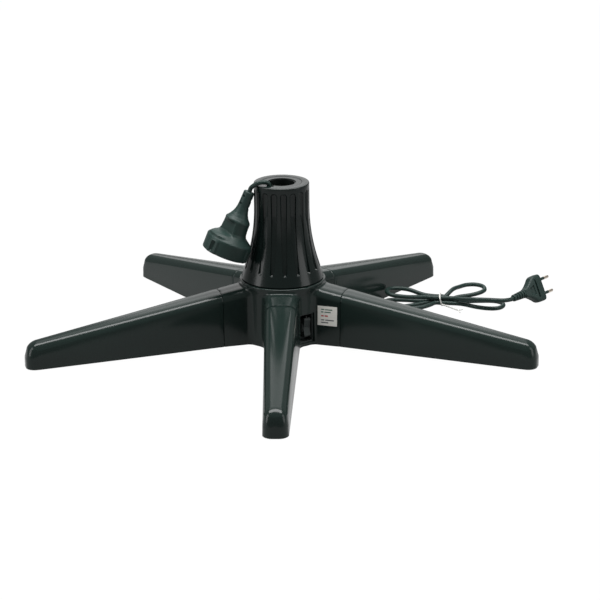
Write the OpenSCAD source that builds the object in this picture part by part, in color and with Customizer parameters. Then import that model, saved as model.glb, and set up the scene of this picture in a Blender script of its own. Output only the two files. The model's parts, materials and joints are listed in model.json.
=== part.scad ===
// Rotating Christmas tree stand, in millimetres.
// Origin: the turning axis at floor level. +Z is up and the front leg points to -Y.
// A motor in the hub turns the fluted cone, the pole tube in it and the outlet that hangs from it.

/* [Whole stand] */
// height of the cone's rim above the floor
stand_h = 202; // [150:1:260]
// from the turning axis to the tip of a leg
tip_r = 320; // [240:1:400]
// number of legs
leg_count = 5; // [5:1:5]

/* [Pole tube] */
// radius of the hole that takes the tree's pole
pole_r = 16; // [12:0.5:20]
// wall of the steel pole tube
pole_wall = 1.6; // [1:0.1:3]

/* [Cone] */
// outer radius of the cone's rim
rim_r = 33.5; // [30:0.5:40]
// steepest slope of the cone's side, from the vertical
cone_a = 17; // [10:1:25]
// radius of the curve between the straight rim and the sloping foot
cone_sweep = 229; // [150:1:320]
// number of flutes
flute_count = 18; // [12:1:24]
// width of a flute near the rim
flute_top_w = 8.4; // [5:0.2:9]
// width of a flute near the foot
flute_foot_w = 5.4; // [3:0.2:8]
// depth of a flute
flute_d = 1.8; // [0.6:0.1:2]
// wall of the cone
cone_wall = 3; // [2.4:0.1:4]

/* [Hub] */
// outer radius of the hub
hub_r = 51; // [48:0.5:60]
// height of the hub's top deck
deck_z = 82; // [76:1:90]
// height of the hub's lower edge above the floor
hub_z = 7; // [3:0.5:10]
// wall of the hub
hub_wall = 3; // [2:0.5:4]

/* [Legs] */
// distance from the axis at which a leg joins its stub
seam_r = 80; // [75:1:100]
// height of a leg's top, 70 mm from the axis
leg_z0 = 73.7; // [60:0.1:80]
// height of a leg's top at the tip
leg_z1 = 30.6; // [20:0.1:40]
// half the width of the flat top, 70 mm from the axis
flat_0 = 11.7; // [8:0.1:16]
// half the width of the flat top at the tip
flat_1 = 6; // [4:0.1:10]
// rounding of a leg's two upper edges
leg_round = 8; // [4:0.5:10]
// rounding of the tip, seen from the side
tip_arc = 15; // [8:0.5:18]
// rounding of the tip's corners, seen from above
tip_corner = 11; // [6:0.5:13]
// wall of a leg
leg_wall = 2.6; // [2:0.1:4]

/* [Drive] */
// teeth of the large gear
gear_teeth = 48; // [40:1:60]
// teeth of the motor's pinion
pinion_teeth = 11; // [11:1:16]
// size of a tooth: pitch diameter over the number of teeth
gear_module = 1; // [0.8:0.1:1.25]
// pressure angle of the teeth
gear_press = 25; // [20:1:25]
// play between two meshed teeth
gear_play = 0.16; // [0.08:0.01:0.3]
// radius of the motor's can
motor_r = 24; // [20:0.5:26]
// number of balls in the thrust bearing
ball_count = 8; // [6:1:12]
// radius of a ball
ball_r = 3; // [2:0.25:4]

/* [Mains lead] */
// diameter of the lead
lead_d = 5.5; // [5:0.1:7]
// width of the plug
plug_w = 35.3; // [35:0.1:36]
// distance between the plug's pins
pin_gap = 18.6; // [17.5:0.1:19]

/* [Hidden] */
$fn = 64;
far = 400;

// ---- directions
front_az = -90;
leg_step = 360 / leg_count;
switch_az = front_az + leg_step / 2;
gland_az = front_az + 1.5 * leg_step;
motor_az = front_az + 3.5 * leg_step;
brush_az = 90;
wire_az = -132;

// ---- leg form
leg_r0 = 70;
leg_fall = atan((leg_z0 - leg_z1) / (tip_r - leg_r0));
leg_taper = atan((flat_0 - flat_1) / (tip_r - leg_r0));
side_draft = 0.028;
under_tip = 1.3;
tip_zc = leg_top(tip_r - tip_arc) - tip_arc / cos(leg_fall);
tip_half = 4;
tongue_r = 58;
tongue_play = 0.25;
tongue_wall = 2.5;
bulkhead = 3;
web_z = 22;
web_t = 4;
leg_screw_r = 70;
leg_screw_shank = 2;
leg_post_r = 4.4;
post_play = 0.4;
screw_play = 0.2;
pad_at = 302;
pad_r = 9;
pad_t = 3.5;
rib_at = [140, 200, 250];
rib_t = 2;
cavity_end = 286;

function leg_top(r) = leg_z0 - tan(leg_fall) * (r - leg_r0);
function leg_under(r) = hub_z - (hub_z - under_tip) * (r - seam_r) / (tip_r - seam_r);

// ---- heights inside
cover_t = 3;
cover_top = hub_z + cover_t;
deck_t = 4;
race_gap = 2;
ball_ring = 25;
ball_z = deck_z + 6;
race_h = ball_z - deck_z - race_gap / 2;
flange_z = ball_z + race_gap / 2 + race_h;
flange_t = 5;
flange_r = 40;
seat_z = flange_z + flange_t;
spindle_r = 12;
spindle_bore = 8.5;
spindle_z = 29;
bush_r = 14;
bush_flange = 17;
bush_play = 0.05;
ring_z = deck_z - deck_t - 3.6;
ring_t = 1.6;
ring_groove = 11;
gear_z = 30;
gear_t = 6;
drum_z = 46;
drum_h = 22;
drum_r = 19.5;
slip_r = 21;
slip_h = 5;
slip_z = [50, 59];
brush_gap = 0.3;
cone_z = deck_z + 1.6;
flute_az = -84.4;
flute_foot_z = cone_z + 15.1;
flute_top_z = stand_h - 10.6;
cap_t = 3.8;
cap_top = stand_h - 0.3;
groove_w = 0.4;
rim_bevel = 0.8;
rim_in = 24.7;
cap_r = rim_in - groove_w;
tube_r = pole_r + pole_wall;
tube_top = stand_h - 1.2;
post_r = 43.5;
post_size = 4.8;
wire_r = 20.8;
core_z = seat_z - 2.1;
core_r = 1.5;
core_in = 6.6;
core_low = 57;
core_top = stand_h - 14;
boss_ring = 35.5;
boss_r = 3.4;
boss_count = 3;
rotor_screw_shank = 1.5;

// ---- motor
motor_at = 20;
motor_top = 26;
gear_centres = gear_module * (gear_teeth + pinion_teeth) / 2;
motor_ear = 29;
ear_t = 1.2;
shaft_r = 3;

// ---- switch
pocket_w = 20.4;
pocket_z = [10.8, 48.2];
bezel_front = 49.3;
bezel_back = 38;
bezel_wall = 1.5;
rocker_w = 8.8;
rocker_at = 2.2;
rocker_h = 25;
rocker_z = 29.5;
rocker_pivot = 43.2;
rocker_face = 49.6;
rocker_valley = 47;
rocker_pin_r = 1.5;
pin_play = 0.05;
hub_screw_z = 55;
bezel_screw_z = 35;
bezel_screw_y = -6.3;

// ---- gland and lead
gland_z = 21.5;
gland_r = 4.5;
gland_flange = 7;
gland_start = hub_r - hub_wall - 4;
gland_end = hub_r + 27;
lead_r = lead_d / 2;

// ---- plug
plug_face = [329, 143.9, 19.6];
plug_az = 42;
plug_rise = 4.3;
plug_roll = -24;
plug_t = 13.6;
plug_body_l = 31;
plug_neck_w = 13;
relief_l = 20;
pin_r = 2;
pin_l = 19;

// ---- hanging outlet
outlet_face = [-69.6, -23, 119];
outlet_turn = 12.5;
outlet_lean = 23.3;
outlet_r = 27.5;
outlet_rim = 18;
outlet_l = 82;
socket_r = 19.8;
socket_depth = 15;
contact_gap = 19;
contact_r = 2.5;
outlet_cord_r = 2.7;

// ---- tie of the hank
tie_at = [201.2, 134, 0];
tie_az = -5;
tie_low = 3.75;
tie_high = 9.45;
slot_step = 3.3;

// ---- label
label_w = 24.5;
label_z = 32.3;

// ---- colours
green_black = [0.05, 0.08, 0.07];
black = [0.05, 0.05, 0.05];
dark_green = [0.1, 0.16, 0.14];
rubber_grey = [0.12, 0.12, 0.12];
steel = [0.7, 0.7, 0.72];
brass = [0.78, 0.62, 0.3];
paper_white = [0.92, 0.92, 0.9];
nylon = [0.88, 0.87, 0.8];
carbon = [0.16, 0.16, 0.17];

// ---- legs and hub ------------------------------------------------------------------------------

// half of a leg's cross-section, measured from one edge of its flat top, taken in by g
module edge_section(g) {
    translate([0, -leg_round]) circle(r = leg_round - g);
    polygon([[-50, -g], [0, -g], [0, -leg_round], [leg_round - g, -leg_round],
             [leg_round - g + side_draft * 90, -leg_round - 90], [-50, -leg_round - 90]]);
}

module edge_bar(g) {
    translate([leg_r0, flat_0, leg_z0]) rotate([0, 0, -leg_taper]) rotate([0, leg_fall, 0])
        translate([-60, 0, 0]) rotate([90, 0, 90]) linear_extrude(far) edge_section(g);
}

// the long form of a leg and of its stub, without ends or underside
module leg_bar(g) {
    intersection() {
        edge_bar(g);
        mirror([0, 1, 0]) edge_bar(g);
    }
}

module leg_side(g, ra) {
    rotate([90, 0, 0]) linear_extrude(60, center = true) {
        translate([tip_r - tip_arc, tip_zc]) circle(r = tip_arc - g);
        polygon([[ra, leg_under(ra)], [tip_r - g, leg_under(tip_r)], [tip_r - g, tip_zc],
                 [tip_r - tip_arc, tip_zc], [tip_r - tip_arc, 90], [ra, 90]]);
    }
}

module leg_plan(g, ra) {
    linear_extrude(far, center = true) {
        for (s = [-1, 1]) translate([tip_r - tip_corner, s * tip_half]) circle(r = tip_corner - g);
        polygon([[ra, -30], [tip_r - tip_corner, -30],
                 [tip_r - tip_corner, -tip_half], [tip_r - g, -tip_half],
                 [tip_r - g, tip_half], [tip_r - tip_corner, tip_half],
                 [tip_r - tip_corner, 30], [ra, 30]]);
    }
}

module between(ra, rb, za, zb, w = 60) {
    translate([ra, -w / 2, za]) cube([rb - ra, w, zb - za]);
}

module leg() {
    color(green_black) difference() {
        union() {
            difference() {
                intersection() {
                    leg_bar(0);
                    leg_side(0, seam_r);
                    leg_plan(0, seam_r);
                }
                difference() {
                    intersection() {
                        leg_bar(leg_wall);
                        between(seam_r + bulkhead, cavity_end, -9, 90);
                    }
                    for (r = rib_at) between(r, r + rib_t, -20, 90);
                }
                intersection() {
                    leg_bar(hub_wall + tongue_play + tongue_wall);
                    between(seam_r - 5, seam_r + bulkhead + 1, -9, 90);
                }
            }
            difference() {
                intersection() {
                    leg_bar(hub_wall + tongue_play);
                    between(tongue_r, seam_r + 1, cover_top, 90);
                }
                intersection() {
                    leg_bar(hub_wall + tongue_play + tongue_wall);
                    between(tongue_r - 1, seam_r + 2, -9, 90);
                }
            }
            intersection() {
                leg_bar(hub_wall + tongue_play + 1);
                between(tongue_r, seam_r + 1, web_z, web_z + web_t);
            }
        }
        translate([leg_screw_r, 0, 0]) cylinder(r = leg_screw_shank + screw_play, h = 50);
        translate([pad_at, 0, -1]) cylinder(r = pad_r, h = pad_t + 1);
        // a slot, open towards the hub, lets the tongue pass the post in the stub
        translate([leg_screw_r, 0, web_z + web_t + 2]) {
            cylinder(r = leg_post_r + post_play, h = 60);
            translate([tongue_r - 1 - leg_screw_r, -leg_post_r - post_play, 0])
                cube([leg_screw_r - tongue_r + 1, 2 * (leg_post_r + post_play), 60]);
        }
    }
}

module at_leg(k) rotate([0, 0, front_az + k * leg_step]) children();

module hub_outline() {
    polygon([[hub_r - hub_wall, hub_z], [hub_r, hub_z], [hub_r, deck_z - 9], [hub_r + 1.4, deck_z - 3],
             [hub_r + 1.4, deck_z - 0.8], [hub_r + 0.6, deck_z], [bush_r, deck_z],
             [bush_r, deck_z - deck_t], [hub_r - hub_wall, deck_z - deck_t]]);
}

module hub_housing() {
    color(green_black) difference() {
        union() {
            rotate_extrude() hub_outline();
            for (k = [0 : leg_count - 1]) at_leg(k) {
                difference() {
                    intersection() {
                        leg_bar(0);
                        between(hub_r - hub_wall + 0.5, seam_r, hub_z, 90);
                    }
                    intersection() {
                        leg_bar(hub_wall);
                        between(hub_r, seam_r + 1, -9, 90);
                    }
                }
                // the post that a leg's screw bites into
                intersection() {
                    leg_bar(0.5);
                    translate([leg_screw_r, 0, web_z + web_t + post_play]) cylinder(r = leg_post_r, h = 60);
                }
                // the post that a screw of the bottom cover bites into
                intersection() {
                    cylinder(r = hub_r - 1, h = deck_z - 1);
                    translate([post_r, 0, cover_top])
                        cylinder(r = post_size, h = deck_z - deck_t - cover_top + 1);
                }
            }
        }
        for (k = [0 : leg_count - 1]) at_leg(k) {
            translate([leg_screw_r, 0, web_z + web_t]) cylinder(r = leg_screw_shank, h = 18);
            translate([post_r, 0, cover_top - 1]) cylinder(r = 1.5, h = 17);
        }
        rotate([0, 0, switch_az]) {
            translate([bezel_back - 2, -pocket_w / 2, pocket_z[0]])
                cube([20, pocket_w, pocket_z[1] - pocket_z[0]]);
            translate([hub_r - 1, 0, hub_screw_z]) rotate([0, 90, 0]) cylinder(r = 2.4, h = 4);
            translate([hub_r - 5, 0, hub_screw_z]) rotate([0, 90, 0]) cylinder(r = 1.25, h = 6);
        }
        rotate([0, 0, gland_az]) translate([hub_r - 8, 0, gland_z]) rotate([0, 90, 0])
            cylinder(r = gland_r, h = 12);
    }
}

module hub_bottom_cover() {
    color(green_black) difference() {
        union() {
            translate([0, 0, hub_z]) cylinder(r = hub_r - hub_wall - 0.3, h = cover_t);
            at_motor() for (s = [-1, 1]) translate([0, s * motor_ear, hub_z])
                cylinder(r = 4, h = motor_top - ear_t - hub_z);
        }
        at_motor() for (s = [-1, 1]) translate([0, s * motor_ear, cover_top]) cylinder(r = 1.5, h = 30);
        for (k = [0 : leg_count - 1]) at_leg(k) translate([post_r, 0, 0]) {
            cylinder(r = 1.7, h = 30);
            cylinder(r = 3.2, h = hub_z + 2);
        }
    }
}

// a pan-head screw: the top of its head at z = 0, its shank going up
module screw_up(head_r, head_h, shank_r, shank_l) {
    difference() {
        union() {
            cylinder(r = head_r, h = head_h);
            translate([0, 0, head_h]) cylinder(r = shank_r, h = shank_l);
        }
        for (a = [0, 90]) rotate([0, 0, a])
            translate([-head_r * 0.6, -0.4, -1]) cube([head_r * 1.2, 0.8, 1 + head_h * 0.6]);
    }
}

module cover_screws() {
    color(steel) for (k = [0 : leg_count - 1]) at_leg(k)
        translate([post_r, 0, hub_z + 0.2]) screw_up(3, 1.8, 1.5, 14);
}

module leg_screws() {
    color(steel) for (k = [0 : leg_count - 1]) at_leg(k)
        translate([leg_screw_r, 0, web_z - 2.6]) screw_up(3.8, 2.6, leg_screw_shank, 18);
}

module foot_pads() {
    color(rubber_grey) for (k = [0 : leg_count - 1]) at_leg(k)
        translate([pad_at, 0, 0]) cylinder(r = pad_r, h = pad_t);
}

// ---- bearing and turning group -----------------------------------------------------------------

module race(z0, z1) {
    difference() {
        rotate_extrude() translate([20, z0]) square([10, z1 - z0]);
        rotate_extrude() translate([ball_ring, ball_z]) circle(r = ball_r + 0.05);
    }
}

module lower_race() { color(steel) race(deck_z, deck_z + race_h); }

module upper_race() { color(steel) race(flange_z - race_h, flange_z); }

module at_balls() {
    for (k = [0 : ball_count - 1]) rotate([0, 0, k * 360 / ball_count]) translate([ball_ring, 0, ball_z])
        children();
}

module bearing_balls() { color(steel) at_balls() sphere(r = ball_r, $fn = 24); }

module ball_cage() {
    color(nylon) difference() {
        translate([0, 0, ball_z - 0.6]) cylinder(r = 29, h = 1.2);
        translate([0, 0, ball_z - 5]) cylinder(r = 21, h = 10);
        at_balls() translate([0, 0, -5]) cylinder(r = ball_r + 0.15, h = 10);
    }
}

module spindle_bushing() {
    under = deck_z - deck_t;
    bore = spindle_r + bush_play;
    color(nylon) rotate_extrude()
        polygon([[bore, under - 1.5], [bush_flange, under - 1.5], [bush_flange, under],
                 [bush_r, under], [bush_r, deck_z], [bore, deck_z]]);
}

module turntable() {
    color(black) difference() {
        union() {
            translate([0, 0, flange_z]) cylinder(r = flange_r, h = flange_t);
            translate([0, 0, spindle_z]) cylinder(r = spindle_r, h = flange_z - spindle_z + 1);
            difference() {
                translate([0, 0, seat_z]) cylinder(r = tube_r + 1.8, h = 4);
                translate([0, 0, seat_z]) cylinder(r = tube_r, h = 5);
                at_wire() translate([0, 0, seat_z - 1]) cylinder(r = 3.6, h = 8);
            }
        }
        translate([0, 0, spindle_z - 1]) cylinder(r = spindle_bore, h = 80);
        rotate_extrude() translate([ring_groove, ring_z]) square([5, ring_t]);
        for (k = [0 : boss_count - 1]) at_boss(k) translate([0, 0, flange_z - 1]) cylinder(r = 1.7, h = 8);
        // slot for the two cores that rise to the hanging outlet
        rotate([0, 0, wire_az]) translate([5, -2.2, seat_z - 3.8]) cube([18.5, 4.4, 9]);
        rotate([0, 0, wire_az]) translate([5, 0, core_low]) rotate([0, 90, 0]) cylinder(r = 2, h = 9);
    }
}

module at_boss(k) rotate([0, 0, -90 + k * 360 / boss_count]) translate([boss_ring, 0, 0]) children();

module at_wire() rotate([0, 0, wire_az]) translate([wire_r, 0, 0]) children();

module retaining_ring() {
    color(steel) difference() {
        translate([0, 0, ring_z]) cylinder(r = 15.5, h = ring_t);
        translate([0, 0, ring_z - 1]) cylinder(r = ring_groove, h = 5);
        rotate([0, 0, 40]) translate([0, -3, ring_z - 1]) cube([20, 6, 5]);
    }
}

module pole_tube() {
    color(steel) difference() {
        translate([0, 0, seat_z]) cylinder(r = tube_r, h = tube_top - seat_z);
        translate([0, 0, seat_z - 1]) cylinder(r = pole_r, h = stand_h);
    }
}

// the cone's side as an outline, taken in by g
cone_xc = rim_r + cone_sweep;
cone_zc = stand_h - 30;
function sweep_x(g) = cone_xc - (cone_sweep + g) * cos(cone_a);
function sweep_z(g) = cone_zc - (cone_sweep + g) * sin(cone_a);
function foot_x(g) = sweep_x(g) + tan(cone_a) * (sweep_z(g) - cone_z);

module cone_outline(g, za, zb) {
    difference() {
        polygon([[0, za], [foot_x(g) + tan(cone_a) * (cone_z - za), za], [sweep_x(g), sweep_z(g)],
                 [sweep_x(g), cone_zc], [rim_r - g, cone_zc], [rim_r - g, zb], [0, zb]]);
        translate([cone_xc, cone_zc]) circle(r = cone_sweep + g, $fn = 200);
    }
}

module flute_cutter() {
    intersection() {
        difference() {
            rotate_extrude() cone_outline(-4, cone_z + 4, stand_h);
            rotate_extrude() cone_outline(flute_d, cone_z + 2, stand_h + 2);
        }
        for (k = [0 : flute_count - 1]) rotate([0, 0, flute_az + k * 360 / flute_count])
            translate([26, 0, 0]) rotate([90, 0, 90]) linear_extrude(30) {
                translate([0, flute_foot_z]) circle(r = flute_foot_w / 2);
                translate([0, flute_top_z]) circle(r = flute_top_w / 2);
                polygon([[-flute_foot_w / 2, flute_foot_z], [flute_foot_w / 2, flute_foot_z],
                         [flute_top_w / 2, flute_top_z], [-flute_top_w / 2, flute_top_z]]);
            }
    }
}

module fluted_cone() {
    ledge_z = cap_top - cap_t;
    color(black) difference() {
        union() {
            difference() {
                rotate_extrude() cone_outline(0, cone_z, stand_h);
                rotate_extrude() cone_outline(cone_wall, cone_z - 1, ledge_z - 2);
                flute_cutter();
            }
            intersection() {
                rotate_extrude() cone_outline(cone_wall - 0.5, cone_z, stand_h - 5);
                for (k = [0 : boss_count - 1]) rotate([0, 0, -90 + k * 360 / boss_count]) {
                    translate([boss_ring, 0, seat_z]) cylinder(r = boss_r, h = 22);
                    translate([boss_ring, -1, seat_z]) cube([10, 2, 22]);
                }
            }
        }
        translate([0, 0, ledge_z]) cylinder(r = rim_in, h = 20);
        translate([0, 0, ledge_z - 9]) cylinder(r = rim_in - 2.2, h = 20);
        for (k = [0 : boss_count - 1]) at_boss(k) translate([0, 0, seat_z - 1])
            cylinder(r = rotor_screw_shank, h = 15);
        at_wire() translate([0, 0, ledge_z - 9]) cylinder(r = 3.6, h = 10);
        // the rim's outer edge is broken by a small bevel
        translate([0, 0, stand_h]) rotate_extrude()
            polygon([[rim_r - rim_bevel, 0.5], [rim_r - rim_bevel, 0], [rim_r, -rim_bevel],
                     [rim_r + 2, -rim_bevel], [rim_r + 2, 0.5]]);
    }
}

module cone_screws() {
    color(steel) for (k = [0 : boss_count - 1]) at_boss(k)
        translate([0, 0, flange_z - 2]) screw_up(3, 2, rotor_screw_shank, 15);
}

module cone_cap() {
    color(black) difference() {
        translate([0, 0, cap_top - cap_t]) cylinder(r = cap_r, h = cap_t);
        translate([0, 0, cap_top - cap_t - 1]) cylinder(r = tube_r, h = cap_t + 2);
        rotate([0, 0, wire_az]) translate([wire_r, 0, cap_top - cap_t - 1]) linear_extrude(cap_t + 2) {
            circle(r = 3.1);
            translate([0, 3.4]) circle(r = 3.1);
            translate([-3.1, 0]) square([6.2, 3.4]);
        }
    }
}

// ---- drive -------------------------------------------------------------------------------------

function involute(rb, t) = [rb * (cos(t) + t * PI / 180 * sin(t)), rb * (sin(t) - t * PI / 180 * cos(t))];
function involute_t(rb, r) = sqrt(max(0, pow(r / rb, 2) - 1)) * 180 / PI;
function polar_of(p) = atan2(p[1], p[0]);
function turned(p, a) = [p[0] * cos(a) - p[1] * sin(a), p[0] * sin(a) + p[1] * cos(a)];

// one flank as points from the root to the tip; the tooth's middle lies along x
function flank(n, steps = 4) =
    let (rp = gear_module * n / 2, rb = rp * cos(gear_press), ra = rp + 0.9 * gear_module,
         rf = rp - 1.15 * gear_module,
         at_pitch = polar_of(involute(rb, involute_t(rb, rp))),
         half = 90 / n - gear_play / 2 / rp * 180 / PI / 2,
         r_low = max(rb, rf + 0.05))
    concat([turned([rf, 0], -half - at_pitch)],
           [for (i = [0 : steps]) let (r = r_low + (ra - r_low) * i / steps)
               turned(involute(rb, involute_t(rb, r)), -half - at_pitch)]);

module toothed(n) {
    f = flank(n);
    m = len(f);
    polygon([for (k = [0 : n - 1]) for (i = [0 : 2 * m - 1])
        let (q = i < m ? f[i] : [f[2 * m - 1 - i][0], -f[2 * m - 1 - i][1]])
            turned(q, k * 360 / n)]);
}

module drive_gear() {
    color(nylon) difference() {
        translate([0, 0, gear_z]) rotate([0, 0, motor_az]) linear_extrude(gear_t) toothed(gear_teeth);
        translate([0, 0, gear_z - 1]) cylinder(r = spindle_r, h = gear_t + 2);
        for (k = [0 : 5]) rotate([0, 0, k * 60]) translate([17, 0, gear_z - 1])
            cylinder(r = 2.6, h = gear_t + 2);
    }
}

module motor_pinion() {
    color(nylon) rotate([0, 0, motor_az]) translate([gear_centres, 0, gear_z]) difference() {
        rotate([0, 0, 180 + 180 / pinion_teeth]) linear_extrude(gear_t) toothed(pinion_teeth);
        translate([0, 0, -1]) cylinder(r = shaft_r, h = gear_t + 2);
    }
}

module motor_shaft() {
    color(steel) rotate([0, 0, motor_az]) translate([gear_centres, 0, motor_top + 0.3])
        cylinder(r = shaft_r, h = gear_z + gear_t - motor_top + 0.7);
}

module at_motor() rotate([0, 0, motor_az]) translate([motor_at, 0, 0]) children();

module drive_motor() {
    color(steel) difference() {
        union() {
            at_motor() translate([0, 0, cover_top]) cylinder(r = motor_r, h = motor_top - cover_top);
            at_motor() for (s = [-1, 1]) {
                translate([-4.5, s > 0 ? 0 : -motor_ear, motor_top - ear_t]) cube([9, motor_ear, ear_t]);
                translate([0, s * motor_ear, motor_top - ear_t]) cylinder(r = 4.5, h = ear_t);
            }
        }
        at_motor() for (s = [-1, 1]) translate([0, s * motor_ear, motor_top - 3]) cylinder(r = 1.7, h = 5);
    }
}

module motor_screws() {
    color(steel) at_motor() for (s = [-1, 1]) translate([0, s * motor_ear, motor_top + 2])
        rotate([180, 0, 0]) screw_up(3, 2, 1.5, 12);
}

// ---- power to the turning group ----------------------------------------------------------------

module slip_drum() {
    color(nylon) difference() {
        translate([0, 0, drum_z]) cylinder(r = drum_r, h = drum_h);
        translate([0, 0, drum_z - 1]) cylinder(r = spindle_r, h = drum_h + 2);
        rotate([0, 0, wire_az]) translate([5, 0, core_low]) rotate([0, 90, 0]) cylinder(r = 2, h = 12);
    }
}

module slip_rings() {
    color(brass) for (z = slip_z) difference() {
        translate([0, 0, z]) cylinder(r = slip_r, h = slip_h);
        translate([0, 0, z - 1]) cylinder(r = drum_r, h = slip_h + 2);
    }
}

module at_brush(z) rotate([0, 0, brush_az]) translate([slip_r + brush_gap, 0, z + slip_h / 2]) children();

module brush_holder() {
    color(nylon) difference() {
        rotate([0, 0, brush_az]) translate([23.5, -7, 46]) cube([11, 14, deck_z - deck_t - 46]);
        for (z = slip_z) at_brush(z) {
            translate([0, -2.5, -2]) cube([7, 5, 4]);
            rotate([0, 90, 0]) cylinder(r = 1.6, h = 11);
        }
    }
}

module brushes() {
    color(carbon) for (z = slip_z) at_brush(z) translate([0, -2.5, -2]) cube([7, 5, 4]);
}

module brush_springs() {
    color(steel) for (z = slip_z) at_brush(z)
        translate([7, 0, 0]) rotate([0, 90, 0]) cylinder(r = 1.6, h = 4);
}

module terminal_block() {
    color(nylon) rotate([0, 0, gland_az]) translate([30.5, -7, cover_top]) cube([8, 14, 13]);
}

// cores from the terminal block to the switch and to the motor
module hub_wiring() {
    color(rubber_grey) {
        for (s = [-1, 1]) rotate([0, 0, s > 0 ? gland_az + 12 : switch_az + 20])
            rotate_extrude(angle = s > 0 ? 50 : gland_az - switch_az - 32)
                translate([35, 12]) circle(r = 1.6);
        rotate([0, 0, gland_az]) for (y = [-2.2, 2.2])
            translate([38.5, y, gland_z - 1.5]) rotate([0, 90, 0]) cylinder(r = 1.4, h = 4.5);
    }
}

module rotor_wiring() {
    color(rubber_grey) rotate([0, 0, wire_az]) {
        for (p = [[core_in, 0, core_low], [core_in, 0, core_z], [wire_r, 0, core_z]])
            translate(p) sphere(r = core_r, $fn = 16);
        translate([core_in, 0, core_low]) rotate([0, 90, 0]) cylinder(r = core_r, h = 9);
        translate([core_in, 0, core_low]) cylinder(r = core_r, h = core_z - core_low);
        translate([core_in, 0, core_z]) rotate([0, 90, 0]) cylinder(r = core_r, h = wire_r - core_in);
        translate([wire_r, 0, core_z]) cylinder(r = core_r, h = core_top - core_z);
    }
}

// ---- switch ------------------------------------------------------------------------------------

module at_switch() rotate([0, 0, switch_az]) children();

module switch_bezel() {
    h = pocket_z[1] - pocket_z[0] - 0.4;
    w = pocket_w - 0.4;
    color(black) at_switch() difference() {
        translate([bezel_back, -w / 2, pocket_z[0] + 0.2]) cube([bezel_front - bezel_back, w, h]);
        translate([bezel_back + 2, -w / 2 + bezel_wall, pocket_z[0] + 0.2 + bezel_wall])
            cube([20, w - 2 * bezel_wall, h - 2 * bezel_wall]);
        translate([bezel_back - 1, rocker_at - rocker_w / 2 - 1.7, rocker_z - rocker_h / 2 - 0.8])
            cube([5, rocker_w + 3.4, rocker_h + 1.6]);
        translate([bezel_back + 0.5, bezel_screw_y, bezel_screw_z]) rotate([0, 90, 0])
            cylinder(r = 1.25, h = 5);
    }
}

// a box behind the bezel, with two ears that carry the rocker's pin
module switch_body() {
    wall = 1.2;
    y0 = rocker_at - rocker_w / 2 - 0.4;
    color(black) at_switch() difference() {
        union() {
            translate([28, y0 - wall, rocker_z - rocker_h / 2 - 2])
                cube([bezel_back - 28, rocker_w + 0.8 + 2 * wall, rocker_h + 4]);
            for (y = [y0 - wall, y0 + rocker_w + 0.8])
                translate([bezel_back - 1, y, rocker_z - 5])
                    cube([rocker_pivot - bezel_back + 4, wall, 10]);
        }
        translate([30, y0, rocker_z - rocker_h / 2 - 0.8]) cube([20, rocker_w + 0.8, rocker_h + 1.6]);
        translate([rocker_pivot, y0 - 5, rocker_z]) rotate([-90, 0, 0])
            cylinder(r = rocker_pin_r + pin_play, h = 30);
    }
}

module switch_rocker() {
    lobe = rocker_h / 2;
    color(green_black) at_switch() {
        translate([0, rocker_at + rocker_w / 2, 0]) rotate([90, 0, 0]) linear_extrude(rocker_w)
            polygon([[rocker_pivot - 5, rocker_z - 6], [rocker_pivot, rocker_z - lobe + 1.5],
                     [rocker_face - 1.5, rocker_z - lobe + 0.5], [rocker_face, rocker_z - lobe + 2.5],
                     [rocker_valley, rocker_z], [rocker_face, rocker_z + lobe - 2.5],
                     [rocker_face - 1.5, rocker_z + lobe - 0.5], [rocker_pivot, rocker_z + lobe - 1.5],
                     [rocker_pivot - 5, rocker_z + 6]]);
        translate([rocker_pivot, rocker_at - rocker_w / 2 - 1.4, rocker_z]) rotate([-90, 0, 0])
            cylinder(r = rocker_pin_r, h = rocker_w + 2.8);
    }
}

module switch_screws() {
    color(steel) at_switch() {
        translate([hub_r - 0.2, 0, hub_screw_z]) rotate([0, -90, 0]) screw_up(2.3, 0.8, 1.25, 3.5);
        translate([bezel_back + 3.4, bezel_screw_y, bezel_screw_z]) rotate([0, -90, 0])
            screw_up(1.9, 1.4, 1.25, 1.3);
    }
}

module rating_label() {
    color(paper_white) at_leg(1) intersection() {
        difference() {
            leg_bar(-0.25);
            leg_bar(0);
        }
        translate([hub_r + 1, -30, label_z]) cube([label_w, 25, label_w]);
    }
}

// ---- lead, hank and plug -----------------------------------------------------------------------

module cord_gland() {
    color(dark_green) rotate([0, 0, gland_az]) translate([0, 0, gland_z]) rotate([0, 90, 0]) difference() {
        union() {
            translate([0, 0, gland_start]) cylinder(r = gland_r, h = hub_r + 2 - gland_start);
            translate([0, 0, hub_r]) cylinder(r = gland_flange, h = 3);
            translate([0, 0, hub_r + 3]) cylinder(r1 = 5.4, r2 = 3.7, h = gland_end - hub_r - 3);
        }
        for (k = [0 : 3]) translate([0, 0, hub_r + 8 + 4.4 * k]) difference() {
            cylinder(r = gland_flange + 1, h = 1.4);
            cylinder(r = 3.3, h = 1.4);
        }
        translate([0, 0, gland_start - 1]) cylinder(r = lead_r, h = gland_end - gland_start + 2);
    }
}

function mix3(a, b, c, d, t) = 0.5 * (2 * b + (c - a) * t + (2 * a - 5 * b + 4 * c - d) * t * t
                                      + (3 * b - a - 3 * c + d) * t * t * t);
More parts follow.
